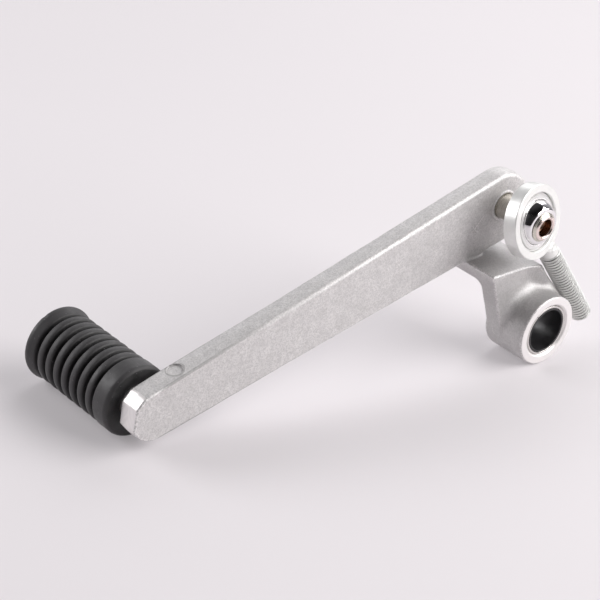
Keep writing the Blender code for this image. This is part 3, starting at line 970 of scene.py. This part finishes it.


# Depths of the fine marks, and places along the bar and from the axes where a finish or its painted shade
# changes
FINE_MARK = 0.00003
FAINT_MARK = 0.00002
RING_RANGE = (0.35, 0.65)
CLOUD_RANGE = (0.3, 0.7)
TOE_SHADE_END = (0.030, 0.075)
TOE_SHADE_START = (-0.003, 0.004)
CREST_RANGE = (0.0086, 0.0094)
FLARE_RANGE = (0.0034, 0.0036)
HOLE_RANGE = (0.00240, 0.00247)
LIP_RANGE = (0.00640, 0.00656)
FLARE_REACH = 0.001
THREAD_ROOT_SHADE = (0.035, 0.038, 0.034)


def cast_finish(colour):
    """Fine-grained as-cast aluminium: worn edges glossier with a painted highlight, painted shade in
    hollows, at the toe's edges and below the bar.
    """
    f = Finish("cast_aluminium", 0.45, colour, 0.90)
    grain = f.noise(2300.0, 4.0, 0.62)
    clouds = f.noise(240.0, 3.0)
    mottle = f.noise(700.0, 2.0)
    specks = f.noise(1300.0, 1.0)
    edge = f.spread(f.carried("edge"), 0.05, 0.18)
    hollow = f.spread(f.carried("hollow"), 0.03, 0.20)
    bracket_shade = f.carried("bracket_shade")
    along = add(f.tree, "ShaderNodeSeparateXYZ", None, {0: f.place}).outputs["X"]
    # Painted shade: a darker, rougher band on the rounded edges near the toe
    toe = f.spread(along, PEG.x + TOE_SHADE_END[0], PEG.x + TOE_SHADE_END[1], 1.0, 0.0)
    behind = f.spread(along, PEG.x + TOE_SHADE_START[0], PEG.x + TOE_SHADE_START[1])
    toe_band_shade = f.calc("MULTIPLY", f.calc("MULTIPLY", toe, behind), edge)
    # Worn edges: glossier, and painted lighter as a highlight
    wear_and_highlight = f.calc("MULTIPLY", edge, f.spread(grain, 0.42, 0.60, 0.1, 1.0))
    f.layer(f.spread(clouds, *CLOUD_RANGE), 1.0)
    f.layer(f.spread(mottle, 0.3, 0.6, 0.5, 0.0), 0.78)
    f.layer(f.spread(grain, 0.32, 0.62, 0.75, 0.0), 0.66)
    f.layer(f.spread(specks, 0.70, 0.78, 0.0, 0.35), 0.45)
    # Painted shade: darker where the surface curves into a hollow
    f.layer(f.calc("MULTIPLY", hollow, 0.45), 0.55)
    f.layer(wear_and_highlight, 1.2)
    f.layer(f.calc("MULTIPLY", toe_band_shade, 0.85), 0.50)
    # Painted shade: the bracket below the bar is darker, and a little glossier
    f.layer(f.calc("MULTIPLY", bracket_shade, 0.36), 0.40)
    rough = f.spread(grain, 0.25, 0.75, 0.44, 0.62)
    for mask, change in ((bracket_shade, -0.08), (wear_and_highlight, -0.15), (toe_band_shade, 0.25)):
        rough = f.calc("MULTIPLY_ADD", mask, change, rough)
    return f.done(rough, f.bump(grain, 0.80, 0.00014, f.bump(clouds, 0.45, 0.00020)))


def machined_finish(colour):
    """Cut aluminium, for the boss's faces with fine rings about the pivot and for the toe's facets."""
    f = Finish("machined_aluminium", 0.5, colour, 0.94)
    radius, _ = f.from_axis((PIVOT.x, 0.0, PIVOT.z))
    rings = f.turning_marks(radius, 9000.0)
    smears = f.noise(420.0, 3.0)
    f.layer(f.spread(rings, *RING_RANGE), 1.0)
    f.layer(f.spread(smears, 0.55, 0.75, 0.0, 0.25), 0.8)
    return f.done(f.spread(smears, *CLOUD_RANGE, 0.36, 0.46), f.bump(rings, 0.25, FINE_MARK))


def rubber_finish(colour):
    """Matt moulded rubber with painted shade in the grooves, a faint bloom and a little dust."""
    f = Finish("black_rubber", 0.0, colour, 0.10)
    grain = f.noise(2600.0, 3.0, 0.6)
    clouds = f.noise(300.0, 3.0)
    dust = f.noise(1500.0, 2.0, 0.7)
    radius, _ = f.from_axis((PEG.x, 0.0, PEG.z))
    bloom = f.blend(f.spread(clouds, *RING_RANGE, 0.0, 0.7), 1.0, 1.55)
    # Painted shade: far darker in the grooves than on the crests, the collar and the flange
    f.layer(f.spread(radius, *CREST_RANGE), 1.45)
    f.layer(f.spread(clouds, *RING_RANGE, 0.0, 0.5), bloom)
    f.layer(f.spread(dust, 0.66, 0.75, 0.0, 0.6), 6.0)
    f.set("Specular IOR Level", 0.55)
    f.set("Sheen Weight", 0.12)
    f.set("Sheen Roughness", 0.45)
    return f.done(f.spread(clouds, *CLOUD_RANGE, 0.50, 0.64), f.bump(grain, 0.45, 0.00008))


def shell_finish(colour):
    """Bright rolled steel with fine lines round the bore."""
    f = Finish("bush_steel", 1.0, colour, 0.85)
    radius, depth = f.from_axis((PIVOT.x, 0.0, PIVOT.z))
    rings = f.turning_marks(f.calc("ADD", radius, depth), 8000.0)
    f.layer(f.spread(rings, *RING_RANGE), 1.0)
    return f.done(f.spread(rings, *CLOUD_RANGE, 0.20, 0.34), f.bump(rings, 0.2, FINE_MARK))


def lining_finish(colour):
    """Dark, slightly glossy lining with rubbed patches."""
    f = Finish("bush_liner", 0.0, colour)
    patches = f.noise(380.0, 3.0)
    f.layer(f.spread(patches, 0.4, 0.7), 1.8)
    f.set("Specular IOR Level", 0.6)
    grain = f.noise(2400.0, 2.0)
    return f.done(f.spread(patches, *CLOUD_RANGE, 0.30, 0.44), f.bump(grain, 0.2, 0.00004))


def stud_finish(colour, flare_colour, hole_colour):
    """Turned steel with a faint yellow tone, burnished pink at the flare, and brown darkened as painted
    shade in the hole.
    """
    f = Finish("stud_steel", 1.0, colour, 0.84)
    centre = STUD_PLACE.to_translation()
    radius, depth = f.from_axis((centre.x, 0.0, centre.z))
    rings = f.turning_marks(f.calc("ADD", radius, depth), 7000.0)
    at_end = f.calc("LESS_THAN", depth, BALL.y + FLARE_REACH)
    f.layer(f.spread(rings, *RING_RANGE), 1.0)
    f.layer(f.spread(f.noise(500.0, 3.0), 0.5, 0.75, 0.0, 0.4), 0.75)
    # The burnished flare, and the brown hole darkened as painted shade
    for reach, tone in ((FLARE_RANGE, flare_colour), (HOLE_RANGE, hole_colour)):
        f.layer(f.calc("MULTIPLY", f.spread(radius, *reach, 1.0, 0.0), at_end), tone)
    return f.done(f.spread(rings, *CLOUD_RANGE, 0.18, 0.32), f.bump(rings, 0.25, FINE_MARK))


def chrome_finish(colour):
    """Polished ball with the faintest wiping marks."""
    f = Finish("ball_chrome", 1.0, colour)
    smears = f.noise(700.0, 3.0)
    f.layer(f.spread(smears, 0.45, 0.7), 0.94)
    return f.done(f.spread(smears, 0.35, 0.7, 0.04, 0.10), f.bump(smears, 0.02, FAINT_MARK))


def race_finish(colour):
    """Matt grey steel with turning rings and a brighter lip beside the ball."""
    f = Finish("race_steel", 0.75, colour, 0.88)
    radius, _ = f.from_axis(tuple(BALL), EYE_TURN)
    rings = f.turning_marks(radius, 7000.0)
    lip = f.spread(radius, *LIP_RANGE, 1.0, 0.0)
    f.layer(f.spread(rings, *RING_RANGE), 1.0)
    f.layer(lip, 1.2)
    rough = f.calc("MULTIPLY_ADD", lip, -0.2, f.spread(rings, *CLOUD_RANGE, 0.34, 0.46))
    normal = f.bump(f.noise(2600.0, 2.0), 0.2, FINE_MARK)
    return f.done(rough, f.bump(rings, 0.2, FINE_MARK, normal))


def zinc_finish(colour):
    """Bright zinc plating, slightly cloudy, with soft rings on the eye, a painted highlight on the thread's
    flanks and painted shade in its roots.
    """
    f = Finish("zinc_plate", 0.5, colour)
    radius, _ = f.from_axis(tuple(BALL), EYE_TURN)
    rings = f.turning_marks(radius, 6000.0)
    clouds = f.noise(420.0, 3.0)
    root = f.carried("root")
    f.layer(f.spread(clouds, 0.4, 0.7, 0.0, 0.6), 0.92)
    f.layer(f.spread(rings, 0.4, 0.65, 0.15, 0.0), 0.85)
    # Painted highlight: the thread's flanks are lighter
    f.layer(f.spread(root, 0.01, 0.08), 1.12)
    # Painted shade: the thread's roots are near black
    f.layer(f.spread(root, 0.55, 0.80), THREAD_ROOT_SHADE)
    normal = f.bump(f.noise(3000.0, 2.0), 0.06, FAINT_MARK)
    return f.done(f.spread(clouds, *CLOUD_RANGE, 0.32, 0.40), f.bump(rings, 0.08, FAINT_MARK, normal))


# Operators
class PieceMaker:
    """What the operators share: each makes its pieces from the scene's settings."""

    bl_options = {"REGISTER", "UNDO"}

    def execute(self, context):
        self.make(context.scene)
        return {"FINISHED"}


# The casting's grid, and how near a face has to lie to count as cut
GRID_LEFT = -0.0078
TOE_PART = 0.0130
LINK_PART = 0.0960
GRID_RIGHT = 0.1280
GRID_FRONT = -0.0186
FACE_PART = -0.0176
BAR_PART = 0.0072
GRID_FOOT = -0.0408
GRID_TOP = 0.0122
GRID_MARGIN = 0.0006
# Heights below the bar over which the bracket's painted shade comes in
BRACKET_SHADE_RANGE = (0.0085, 0.0125)
FACE_LIMIT = 0.00004
REAR_RIM = 0.0003
FACET_LIMIT = 0.0005
TOE_LIMIT = -0.002


class GEARLEVER_OT_casting(PieceMaker, bpy.types.Operator):
    """Make the aluminium casting with its fillets, facets and machined faces"""

    bl_idname = "gear_lever.casting"
    bl_label = "Casting"

    def make(self, scene):
        s = scene.gear_casting
        field = casting_field(s)
        cell = s.cell
        back = s.spigot_end + GRID_MARGIN
        rows = (
            graded(GRID_LEFT, (TOE_PART, cell), (LINK_PART, 2.5 * cell), (GRID_RIGHT, cell)),
            graded(GRID_FRONT, (FACE_PART, 0.5 * cell), (BAR_PART, cell), (back, 2.0 * cell)),
            graded(GRID_FOOT, (GRID_TOP, cell)),
        )
        corners, quads = skin(field, rows)
        bend = curving(field, corners, BEND_REACH)
        mesh = plain_mesh("casting", corners, quads, BAR_PLACE)
        store(mesh, "edge", np.maximum(bend, 0.0))
        store(mesh, "hollow", np.maximum(-bend, 0.0))
        # The bracket below the bar, for its painted shade
        store(mesh, "bracket_shade", smooth_step(*BRACKET_SHADE_RANGE, -corners[:, 2]))
        piece = new_piece("casting", mesh, cast_finish(s.colour), machined_finish(s.machined_colour))
        cut = self.cut_faces(s, *corners[quads].mean(axis=1).T)
        mesh.polygons.foreach_set("material_index", cut.astype(np.int32))
        hand_over(piece, "lever", "lever_arm")

    @staticmethod
    def cut_faces(s, x, y, z):
        """Which faces are machined: the boss's two ends, the bush's seat and the toe's facets."""
        radial = np.hypot(x - PIVOT_ALONG, z + PIVOT_DROP)
        front = y < -BOSS_FRONT + FACE_LIMIT
        rear = (np.abs(y + BOSS_BACK) < FACE_LIMIT) & (radial < BOSS_RADIUS - REAR_RIM)
        seat = radial < s.seat_radius + s.seat_chamfer
        toe = np.zeros(len(x), dtype=bool)
        for facet in toe_facets(s, x, z):
            toe |= np.abs(facet) < FACET_LIMIT
        toe &= (y > FACET_LIMIT) & (y < BAR_THICKNESS - FACET_LIMIT) & (x < TOE_LIMIT)
        return front | rear | seat | toe


# Small sizes of the rubber; the nick is a moulding fault in the flange's rim
RIB_EASE = 0.0005
END_EASE = 0.0004
FOOT_SHARE = 0.3
CROWN = 0.0002
LIP_HEIGHT = 0.00022
NICK_TURN = math.radians(103.0)
NICK_SETBACK = 0.0006
NICK_REACH = 0.0008
NICK_DEPTH = 0.00035


class GEARLEVER_OT_rubber(PieceMaker, bpy.types.Operator):
    """Make the ribbed toe rubber"""

    bl_idname = "gear_lever.rubber"
    bl_label = "Toe rubber"

    def make(self, scene):
        s = scene.gear_rubber
        material = rubber_finish(s.colour)
        groove = s.rib_radius - s.groove_depth
        half = s.groove_width / 2
        foot = FOOT_SHARE * half
        first = s.start + s.collar_length + half
        last = s.end - s.flange_length - half
        pitch = (last - first) / s.ribs

        # Profiles are (radius, depth behind the bar's front face) points
        rib = [
            (groove, first),
            (groove, first + foot),
            (s.rib_radius - CROWN, first + half),
            (s.rib_radius, first + pitch / 2),
            (s.rib_radius - CROWN, first + pitch - half),
            (groove, first + pitch - foot),
            (groove, first + pitch),
        ]
        shape = turned(bmesh.new(), eased(rib, RIB_EASE, closed=False), FINE_TURN)
        ring = shape_mesh("rib", shape, UNMOVED)
        ribs = grown("ribs", rib_tree(), ring, {"Ribs": s.ribs, "Pitch": pitch, "Finish": material})
        lip = s.bore_radius - LIP_HEIGHT
        bead = s.bore_radius + BEAD_HEIGHT
        collar = [
            (groove, first),
            (groove, first - foot),
            (s.collar_radius, first - half),
            (s.collar_radius, s.start + 0.0009),
            (s.collar_radius - 0.0006, s.start),
            (lip + 0.0012, s.start + 0.0001),
            (lip, s.start + 0.0004),
            (lip, s.start + 0.0012),
            (s.bore_radius, s.start + 0.0020),
            (s.bore_radius, s.bore_end - 0.0080),
            (bead, s.bore_end - 0.0072),
            (bead, s.bore_end - 0.0044),
            (s.bore_radius, s.bore_end - 0.0036),
            (s.bore_radius, s.bore_end),
            (0.0, s.bore_end),
        ]
        flange = [
            (groove, last),
            (groove, last + foot),
            (s.rib_radius - 0.0003, last + half),
            (s.flange_radius - 0.0003, s.end - 0.0020),
            (s.flange_radius, s.end - 0.0012),
            (s.flange_radius - 0.00005, s.end - 0.0004),
            (s.flange_radius - 0.0006, s.end),
            (0.0, s.end - 0.0001),
        ]
        shape = turned(bmesh.new(), eased(collar, END_EASE, closed=False), FINE_TURN)
        turned(shape, eased(flange, END_EASE, closed=False), FINE_TURN)
        shape.from_mesh(ribs)
        self.nick(shape, s)
        mesh = shape_mesh("toe_rubber", shape, BAR_PLACE)
        mesh.materials.clear()
        piece = new_piece("toe_rubber", mesh, material)
        hand_over(piece, "lever", "toe_peg_rubber")

    @staticmethod
    def nick(shape, s):
        """Presses a small nick into the flange's rim."""
        middle = Vector((math.cos(NICK_TURN), 0.0, math.sin(NICK_TURN))) * s.flange_radius
        middle.y = s.end - NICK_SETBACK
        for vertex in shape.verts:
            near = (vertex.co - middle).length
            if near < NICK_REACH:
                pull = NICK_DEPTH * (1.0 - near / NICK_REACH)
                vertex.co.x -= pull * math.cos(NICK_TURN)
                vertex.co.z -= pull * math.sin(NICK_TURN)


# Edges and clearances of the small turned pieces
SHELL_EDGE = 0.00016
LINING_EDGE = 0.00014
STUD_EDGE = 0.00016
TURNED_STEPS = 3
STUD_PLAY = 0.0001
BALL_CHAMFER = 0.00015
BALL_STEPS = 48
RACE_STEPS = 36
ZONE_TRIM = 0.0001


class GEARLEVER_OT_bush(PieceMaker, bpy.types.Operator):
    """Make the rolled bush and its lining"""

    bl_idname = "gear_lever.bush"
    bl_label = "Pivot bush"

    def make(self, scene):
        s = scene.gear_bush
        shell = self.ring(s, "bush_shell", s.shell_inner, s.shell_outer, SHELL_EDGE)
        piece = new_piece("bush_shell", shell, shell_finish(s.colour))
        hand_over(piece, "lever", "pivot_bush_shell")
        lining = self.ring(s, "bush_lining", s.bore_radius, s.lining_radius, LINING_EDGE)
        piece = new_piece("bush_lining", lining, lining_finish(s.lining_colour))
        hand_over(piece, "lever", "pivot_bush_liner")

    @staticmethod
    def ring(s, name, inner, outer, edge):
        """A ring in the boss, open at the seam."""
        front = -BOSS_FRONT + s.recess
        back = -BOSS_BACK - s.recess
        profile = [(inner, back), (outer, back), (outer, front), (inner, front)]
        gap = s.seam_gap / s.shell_outer
        shape = turned(bmesh.new(), eased(profile, edge, TURNED_STEPS), FINE_TURN, True, gap, s.seam)
        return shape_mesh(name, shape, PIVOT_PLACE)


class GEARLEVER_OT_stud(PieceMaker, bpy.types.Operator):
    """Make the stud with its flared end"""

    bl_idname = "gear_lever.stud"
    bl_label = "Link stud"

    def make(self, scene):
        s = scene.gear_stud
        width = scene.gear_rod_end.ball_width
        shoulder = STUD.y + width / 2 + STUD_PLAY
        ball_face = STUD.y - width / 2 - STUD_PLAY
        tip = ball_face - s.flare_length

        # (radius, depth) points from the bar's back to the hole in the flared end
        points = [
            (0.0, BAR_THICKNESS),
            (s.radius, BAR_THICKNESS),
            (s.radius, shoulder + 0.0009),
            (s.radius - 0.00012, shoulder + 0.0008),
            (s.radius - 0.00012, shoulder + 0.0006),
            (s.radius, shoulder + 0.0005),
            (s.radius, shoulder),
            (s.tail_radius, shoulder),
            (s.tail_radius, ball_face),
            (s.flare_radius, ball_face),
            (s.flare_radius, ball_face - 0.00022),
            (s.flare_radius - 0.00020, ball_face - 0.00028),
            (s.flare_radius - 0.00024, ball_face - 0.00046),
            (s.flare_radius - 0.00044, ball_face - 0.00052),
            (s.flare_radius - 0.00070, ball_face - 0.00086),
            (s.hole_radius + 0.00052, tip),
            (s.hole_radius + 0.00030, tip + 0.00008),
            (s.hole_radius + 0.00004, tip + 0.00050),
            (s.hole_radius, tip + 0.00080),
            (s.hole_radius, tip + s.hole_depth),
            (0.0, tip + s.hole_depth + 0.0009),
        ]
        shape = turned(bmesh.new(), eased(points, STUD_EDGE, TURNED_STEPS, closed=False), STUD_TURN)
        mesh = shape_mesh("stud", shape, STUD_PLACE)
        piece = new_piece("stud", mesh, stud_finish(s.colour, s.flare_colour, s.hole_colour))
        hand_over(piece, "lever", "link_stud")


class GEARLEVER_OT_ball_and_race(PieceMaker, bpy.types.Operator):
    """Make the ball and the race it turns in"""

    bl_idname = "gear_lever.ball_and_race"
    bl_label = "Ball and race"

    def make(self, scene):
        s = scene.gear_rod_end
        half = s.ball_width / 2
        bore = scene.gear_stud.tail_radius + STUD_PLAY
        flat = math.sqrt(s.ball_radius**2 - half**2)
        profile = ball_zone(s.ball_radius, half - ZONE_TRIM, BALL_STEPS)
        profile += mirrored(
            [(flat - BALL_CHAMFER, -half), (bore + BALL_CHAMFER, -half), (bore, -half + BALL_CHAMFER)]
        )
        mesh = shape_mesh("ball", turned(bmesh.new(), profile, FINE_TURN, True), BALL_PLACE)
        piece = new_piece("ball", mesh, chrome_finish(s.ball_colour))
        hand_over(piece, "ball", "rod_end_ball")

        half = s.race_width / 2
        inner = s.ball_radius + s.ball_gap
        rim = math.sqrt(inner**2 - half**2)
        outside = [
            (rim + 0.00022, -half - 0.0001),
            (rim + 0.00036, -half + 0.00006),
            (s.race_radius - 0.0006, -half + 0.0001),
            (s.race_radius - 0.0004, -half + 0.0006),
            (s.race_radius, -half + 0.0006),
        ]
        profile = ball_zone(inner, half + ZONE_TRIM, RACE_STEPS) + mirrored(outside)
        mesh = shape_mesh("race", turned(bmesh.new(), profile, FINE_TURN, True), EYE_PLACE)
        piece = new_piece("race", mesh, race_finish(s.race_colour))
        hand_over(piece, "rod_end", "rod_end_race")


# The eye's grid, and the stretch of the shank that counts as threaded
EYE_CELL = 0.00022
FLAT_CELL = 0.0002
EDGE_CELL = 0.00011
EDGE_INSIDE = 0.0006
EDGE_OUTSIDE = 0.0002
NECK_REST = 0.0014
NECK_INSET = 0.0002
TIP_REST = 0.0009


class GEARLEVER_OT_threaded_eye(PieceMaker, bpy.types.Operator):
    """Make the plated eye with its threaded shank"""

    bl_idname = "gear_lever.threaded_eye"
    bl_label = "Threaded eye"

    def make(self, scene):
        s = scene.gear_rod_end
        material = zinc_finish(s.colour)
        reach = s.eye_radius + GRID_MARGIN
        side = max(s.eye_width / 2, s.neck_radius) + GRID_MARGIN
        flat = s.eye_width / 2
        depths = (
            (-flat - EDGE_OUTSIDE, FLAT_CELL),
            (EDGE_INSIDE - flat, EDGE_CELL),
            (flat - EDGE_INSIDE, FLAT_CELL),
            (flat + EDGE_OUTSIDE, EDGE_CELL),
            (side, FLAT_CELL),
        )
        rows = (
            graded(-reach, (reach, EYE_CELL)),
            graded(-side, *depths),
            graded(-s.thread_start - NECK_REST, (reach, EYE_CELL)),
        )
        eye_mesh = plain_mesh("eye", *skin(eye_field(s), rows), UNMOVED)
        turns = math.floor((s.thread_end - s.thread_start) / s.pitch * THREAD_STEPS)
        values = {
            "Start": s.thread_start,
            "Length": turns * s.pitch / THREAD_STEPS,
            "Pitch": s.pitch,
            "Crest Radius": s.crest_radius,
            "Depth": s.thread_depth,
            "Neck Radius": s.neck_radius - NECK_INSET,
            "Tip Radius": s.tip_radius,
            "Rows": turns + THREAD_STEPS + 3,
            "Turn Steps": THREAD_TURN,
            "Finish": material,
        }
        thread_mesh = grown("thread", thread_tree(), bpy.data.meshes.new("thread"), values)
        shape = bmesh.new()
        shape.from_mesh(thread_mesh)
        thread_mesh = shape_mesh("thread", shape, UNMOVED)
        mesh = self.joined(eye_mesh, thread_mesh)
        self.mark_roots(mesh, s)
        mesh.transform(EYE_PLACE)
        mesh.materials.clear()
        piece = new_piece("threaded_eye", mesh, material)
        hand_over(piece, "rod_end", "rod_end_housing")

    @staticmethod
    def mark_roots(mesh, s):
        """Stores how deep each point lies in the thread."""
        flat = np.empty(3 * len(mesh.vertices))
        mesh.vertices.foreach_get("co", flat)
        x, y, z = flat.reshape(-1, 3).T
        depth = (s.crest_radius - np.hypot(x, y)) / s.thread_depth
        threaded = (z < -s.thread_start - NECK_REST) & (z > -s.thread_end + TIP_REST)
        store(mesh, "root", np.where(threaded, np.clip(depth, 0.0, 1.0), 0.0))

    @staticmethod
    def joined(first, second):
        """Two closed meshes as one closed mesh."""
        thing, other = (linked(mesh.name, mesh) for mesh in (first, second))
        modifier = thing.modifiers.new("joined", "BOOLEAN")
        modifier.operation = "UNION"
        modifier.solver = "MANIFOLD"
        modifier.object = other
        made = taken_from(thing)
        bpy.data.objects.remove(other)
        return made


# The stage: each light's name, place, two widths, power and colour
LIGHT_AIM = Vector((0.0, 0.0, 0.02))
LIGHTS = (
    ("key", (0.43, -0.48, 0.48), (0.80, 0.58), 8.1, (1.0, 0.985, 0.98)),
    ("back right", (0.45, 0.28, 0.40), (0.45, 0.35), 1.1, (1.0, 0.99, 1.0)),
    ("back left", (-0.46, 0.52, 0.36), (0.50, 0.36), 3.6, (1.0, 0.99, 1.0)),
)
CAMERA_AIM = Vector((-0.01115, -0.00065, 0.02273))
SENSOR_WIDTH = 36.0
CLIP_RANGE = (0.01, 20.0)
ROOM_COLOUR = (0.98, 0.97, 1.0, 1.0)

# Along each axis: the directions between which the room's light changes, and its strength at both
ROOM_LIGHT = (("Y", -0.35, 0.35, 0.06, 0.45), ("X", -0.8, 0.1, 0.35, 1.0), ("Z", 0.62, 0.86, 1.0, 0.15))


class GEARLEVER_OT_stage(PieceMaker, bpy.types.Operator):
    """Make the floor, the lights and the camera"""

    bl_idname = "gear_lever.stage"
    bl_label = "Stage"

    def make(self, scene):
        s = scene.gear_stage
        scene.view_settings.view_transform = "Standard"
        self.floor(s)
        self.world(scene)
        for light in LIGHTS:
            self.area_light(*light)
        self.camera(scene, s)

    @staticmethod
    def floor(s):
        """Pale lit paper under the object."""
        half = s.floor_width / 2
        corners = [(-half, -half, 0.0), (half, -half, 0.0), (half, half, 0.0), (-half, half, 0.0)]
        mesh = bpy.data.meshes.new("floor")
        mesh.from_pydata(corners, [], [(0, 1, 2, 3)])
        floor = linked("floor", mesh)
        f = Finish("pale_floor", 0.0, s.floor_colour, 0.985)
        f.layer(f.noise(9.0, 2.0), 1.0)
        f.link("Base Color", f.tone)
        f.link("Emission Color", f.tone)
        f.set("Emission Strength", s.floor_glow)
        f.set("Roughness", 0.6)
        f.set("Specular IOR Level", 0.2)
        mesh.materials.append(f.material)
        floor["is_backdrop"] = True

    @staticmethod
    def world(scene):
        """A dim room, darker in front of the object, on its left and overhead."""
        world = bpy.data.worlds.new("studio")
        scene.world = world
        world.use_nodes = True
        tree = world.node_tree
        direction = add(tree, "ShaderNodeTexCoord").outputs["Generated"]
        parts = add(tree, "ShaderNodeSeparateXYZ", None, {0: direction}).outputs
        light = 1.0
        for axis, *bounds in ROOM_LIGHT:
            light = math_step(tree, "MULTIPLY", light, spread(tree, parts[axis], *bounds))
        background = tree.nodes["Background"]
        tree.links.new(light, background.inputs["Strength"])
        background.inputs["Color"].default_value = ROOM_COLOUR

    @staticmethod
    def area_light(name, place, size, power, colour):
        data = bpy.data.lights.new(name, "AREA")
        data.shape = "RECTANGLE"
        data.size, data.size_y = size
        data.energy = power
        data.color = colour
        light = linked(name, data)
        light.location = place
        light.rotation_euler = (LIGHT_AIM - Vector(place)).to_track_quat("-Z", "Y").to_euler()

    @staticmethod
    def camera(scene, s):
        """A camera at the photo's view, with its slight roll."""
        forward = Vector((math.sin(s.azimuth), math.cos(s.azimuth), -math.tan(s.elevation))).normalized()
        level = Vector((math.cos(s.azimuth), -math.sin(s.azimuth), 0.0))
        upright = level.cross(forward)
        up = upright * math.cos(s.roll) + level * math.sin(s.roll)
        right = forward.cross(up)
        lens = bpy.data.cameras.new("camera")
        lens.lens = s.lens
        lens.sensor_width = SENSOR_WIDTH
        lens.clip_start, lens.clip_end = CLIP_RANGE
        camera = linked("camera", lens)
        place = Matrix((right, up, -forward)).transposed().to_4x4()
        place.translation = CAMERA_AIM - forward * s.distance
        camera.matrix_world = place
        scene.camera = camera


class GEARLEVER_PT_panel(bpy.types.Panel):
    """Lists the pieces of the gear shift lever"""

    bl_label = "Gear shift lever"
    bl_idname = "GEARLEVER_PT_panel"
    bl_space_type = "VIEW_3D"
    bl_region_type = "UI"
    bl_category = "Gear lever"

    def draw(self, context):
        for operator in OPERATORS:
            self.layout.operator(operator.bl_idname)


SETTINGS = {
    "gear_casting": CastingSettings,
    "gear_rubber": RubberSettings,
    "gear_bush": BushSettings,
    "gear_stud": StudSettings,
    "gear_rod_end": RodEndSettings,
    "gear_stage": StageSettings,
}
OPERATORS = (
    GEARLEVER_OT_casting,
    GEARLEVER_OT_rubber,
    GEARLEVER_OT_bush,
    GEARLEVER_OT_stud,
    GEARLEVER_OT_ball_and_race,
    GEARLEVER_OT_threaded_eye,
    GEARLEVER_OT_stage,
)


def register():
    for name, group in SETTINGS.items():
        bpy.utils.register_class(group)
        setattr(bpy.types.Scene, name, PointerProperty(type=group))
    for operator in OPERATORS:
        bpy.utils.register_class(operator)
    bpy.utils.register_class(GEARLEVER_PT_panel)


def unregister():
    bpy.utils.unregister_class(GEARLEVER_PT_panel)
    for operator in reversed(OPERATORS):
        bpy.utils.unregister_class(operator)
    for name, group in reversed(SETTINGS.items()):
        delattr(bpy.types.Scene, name)
        bpy.utils.unregister_class(group)


def write_sizes():
    """Gathers the frame's box and the finished pieces' box as lists."""
    boxes = {"cad": CAD_BOX, "visual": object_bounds()}
    lists = {name: [list(low), list(high)] for name, (low, high) in boxes.items()}


def main():
    register()
    bpy.ops.gear_lever.casting()
    bpy.ops.gear_lever.rubber()
    bpy.ops.gear_lever.bush()
    bpy.ops.gear_lever.stud()
    bpy.ops.gear_lever.ball_and_race()
    bpy.ops.gear_lever.threaded_eye()
    bpy.ops.gear_lever.stage()
    write_sizes()


if __name__ == "__main__":
    main()
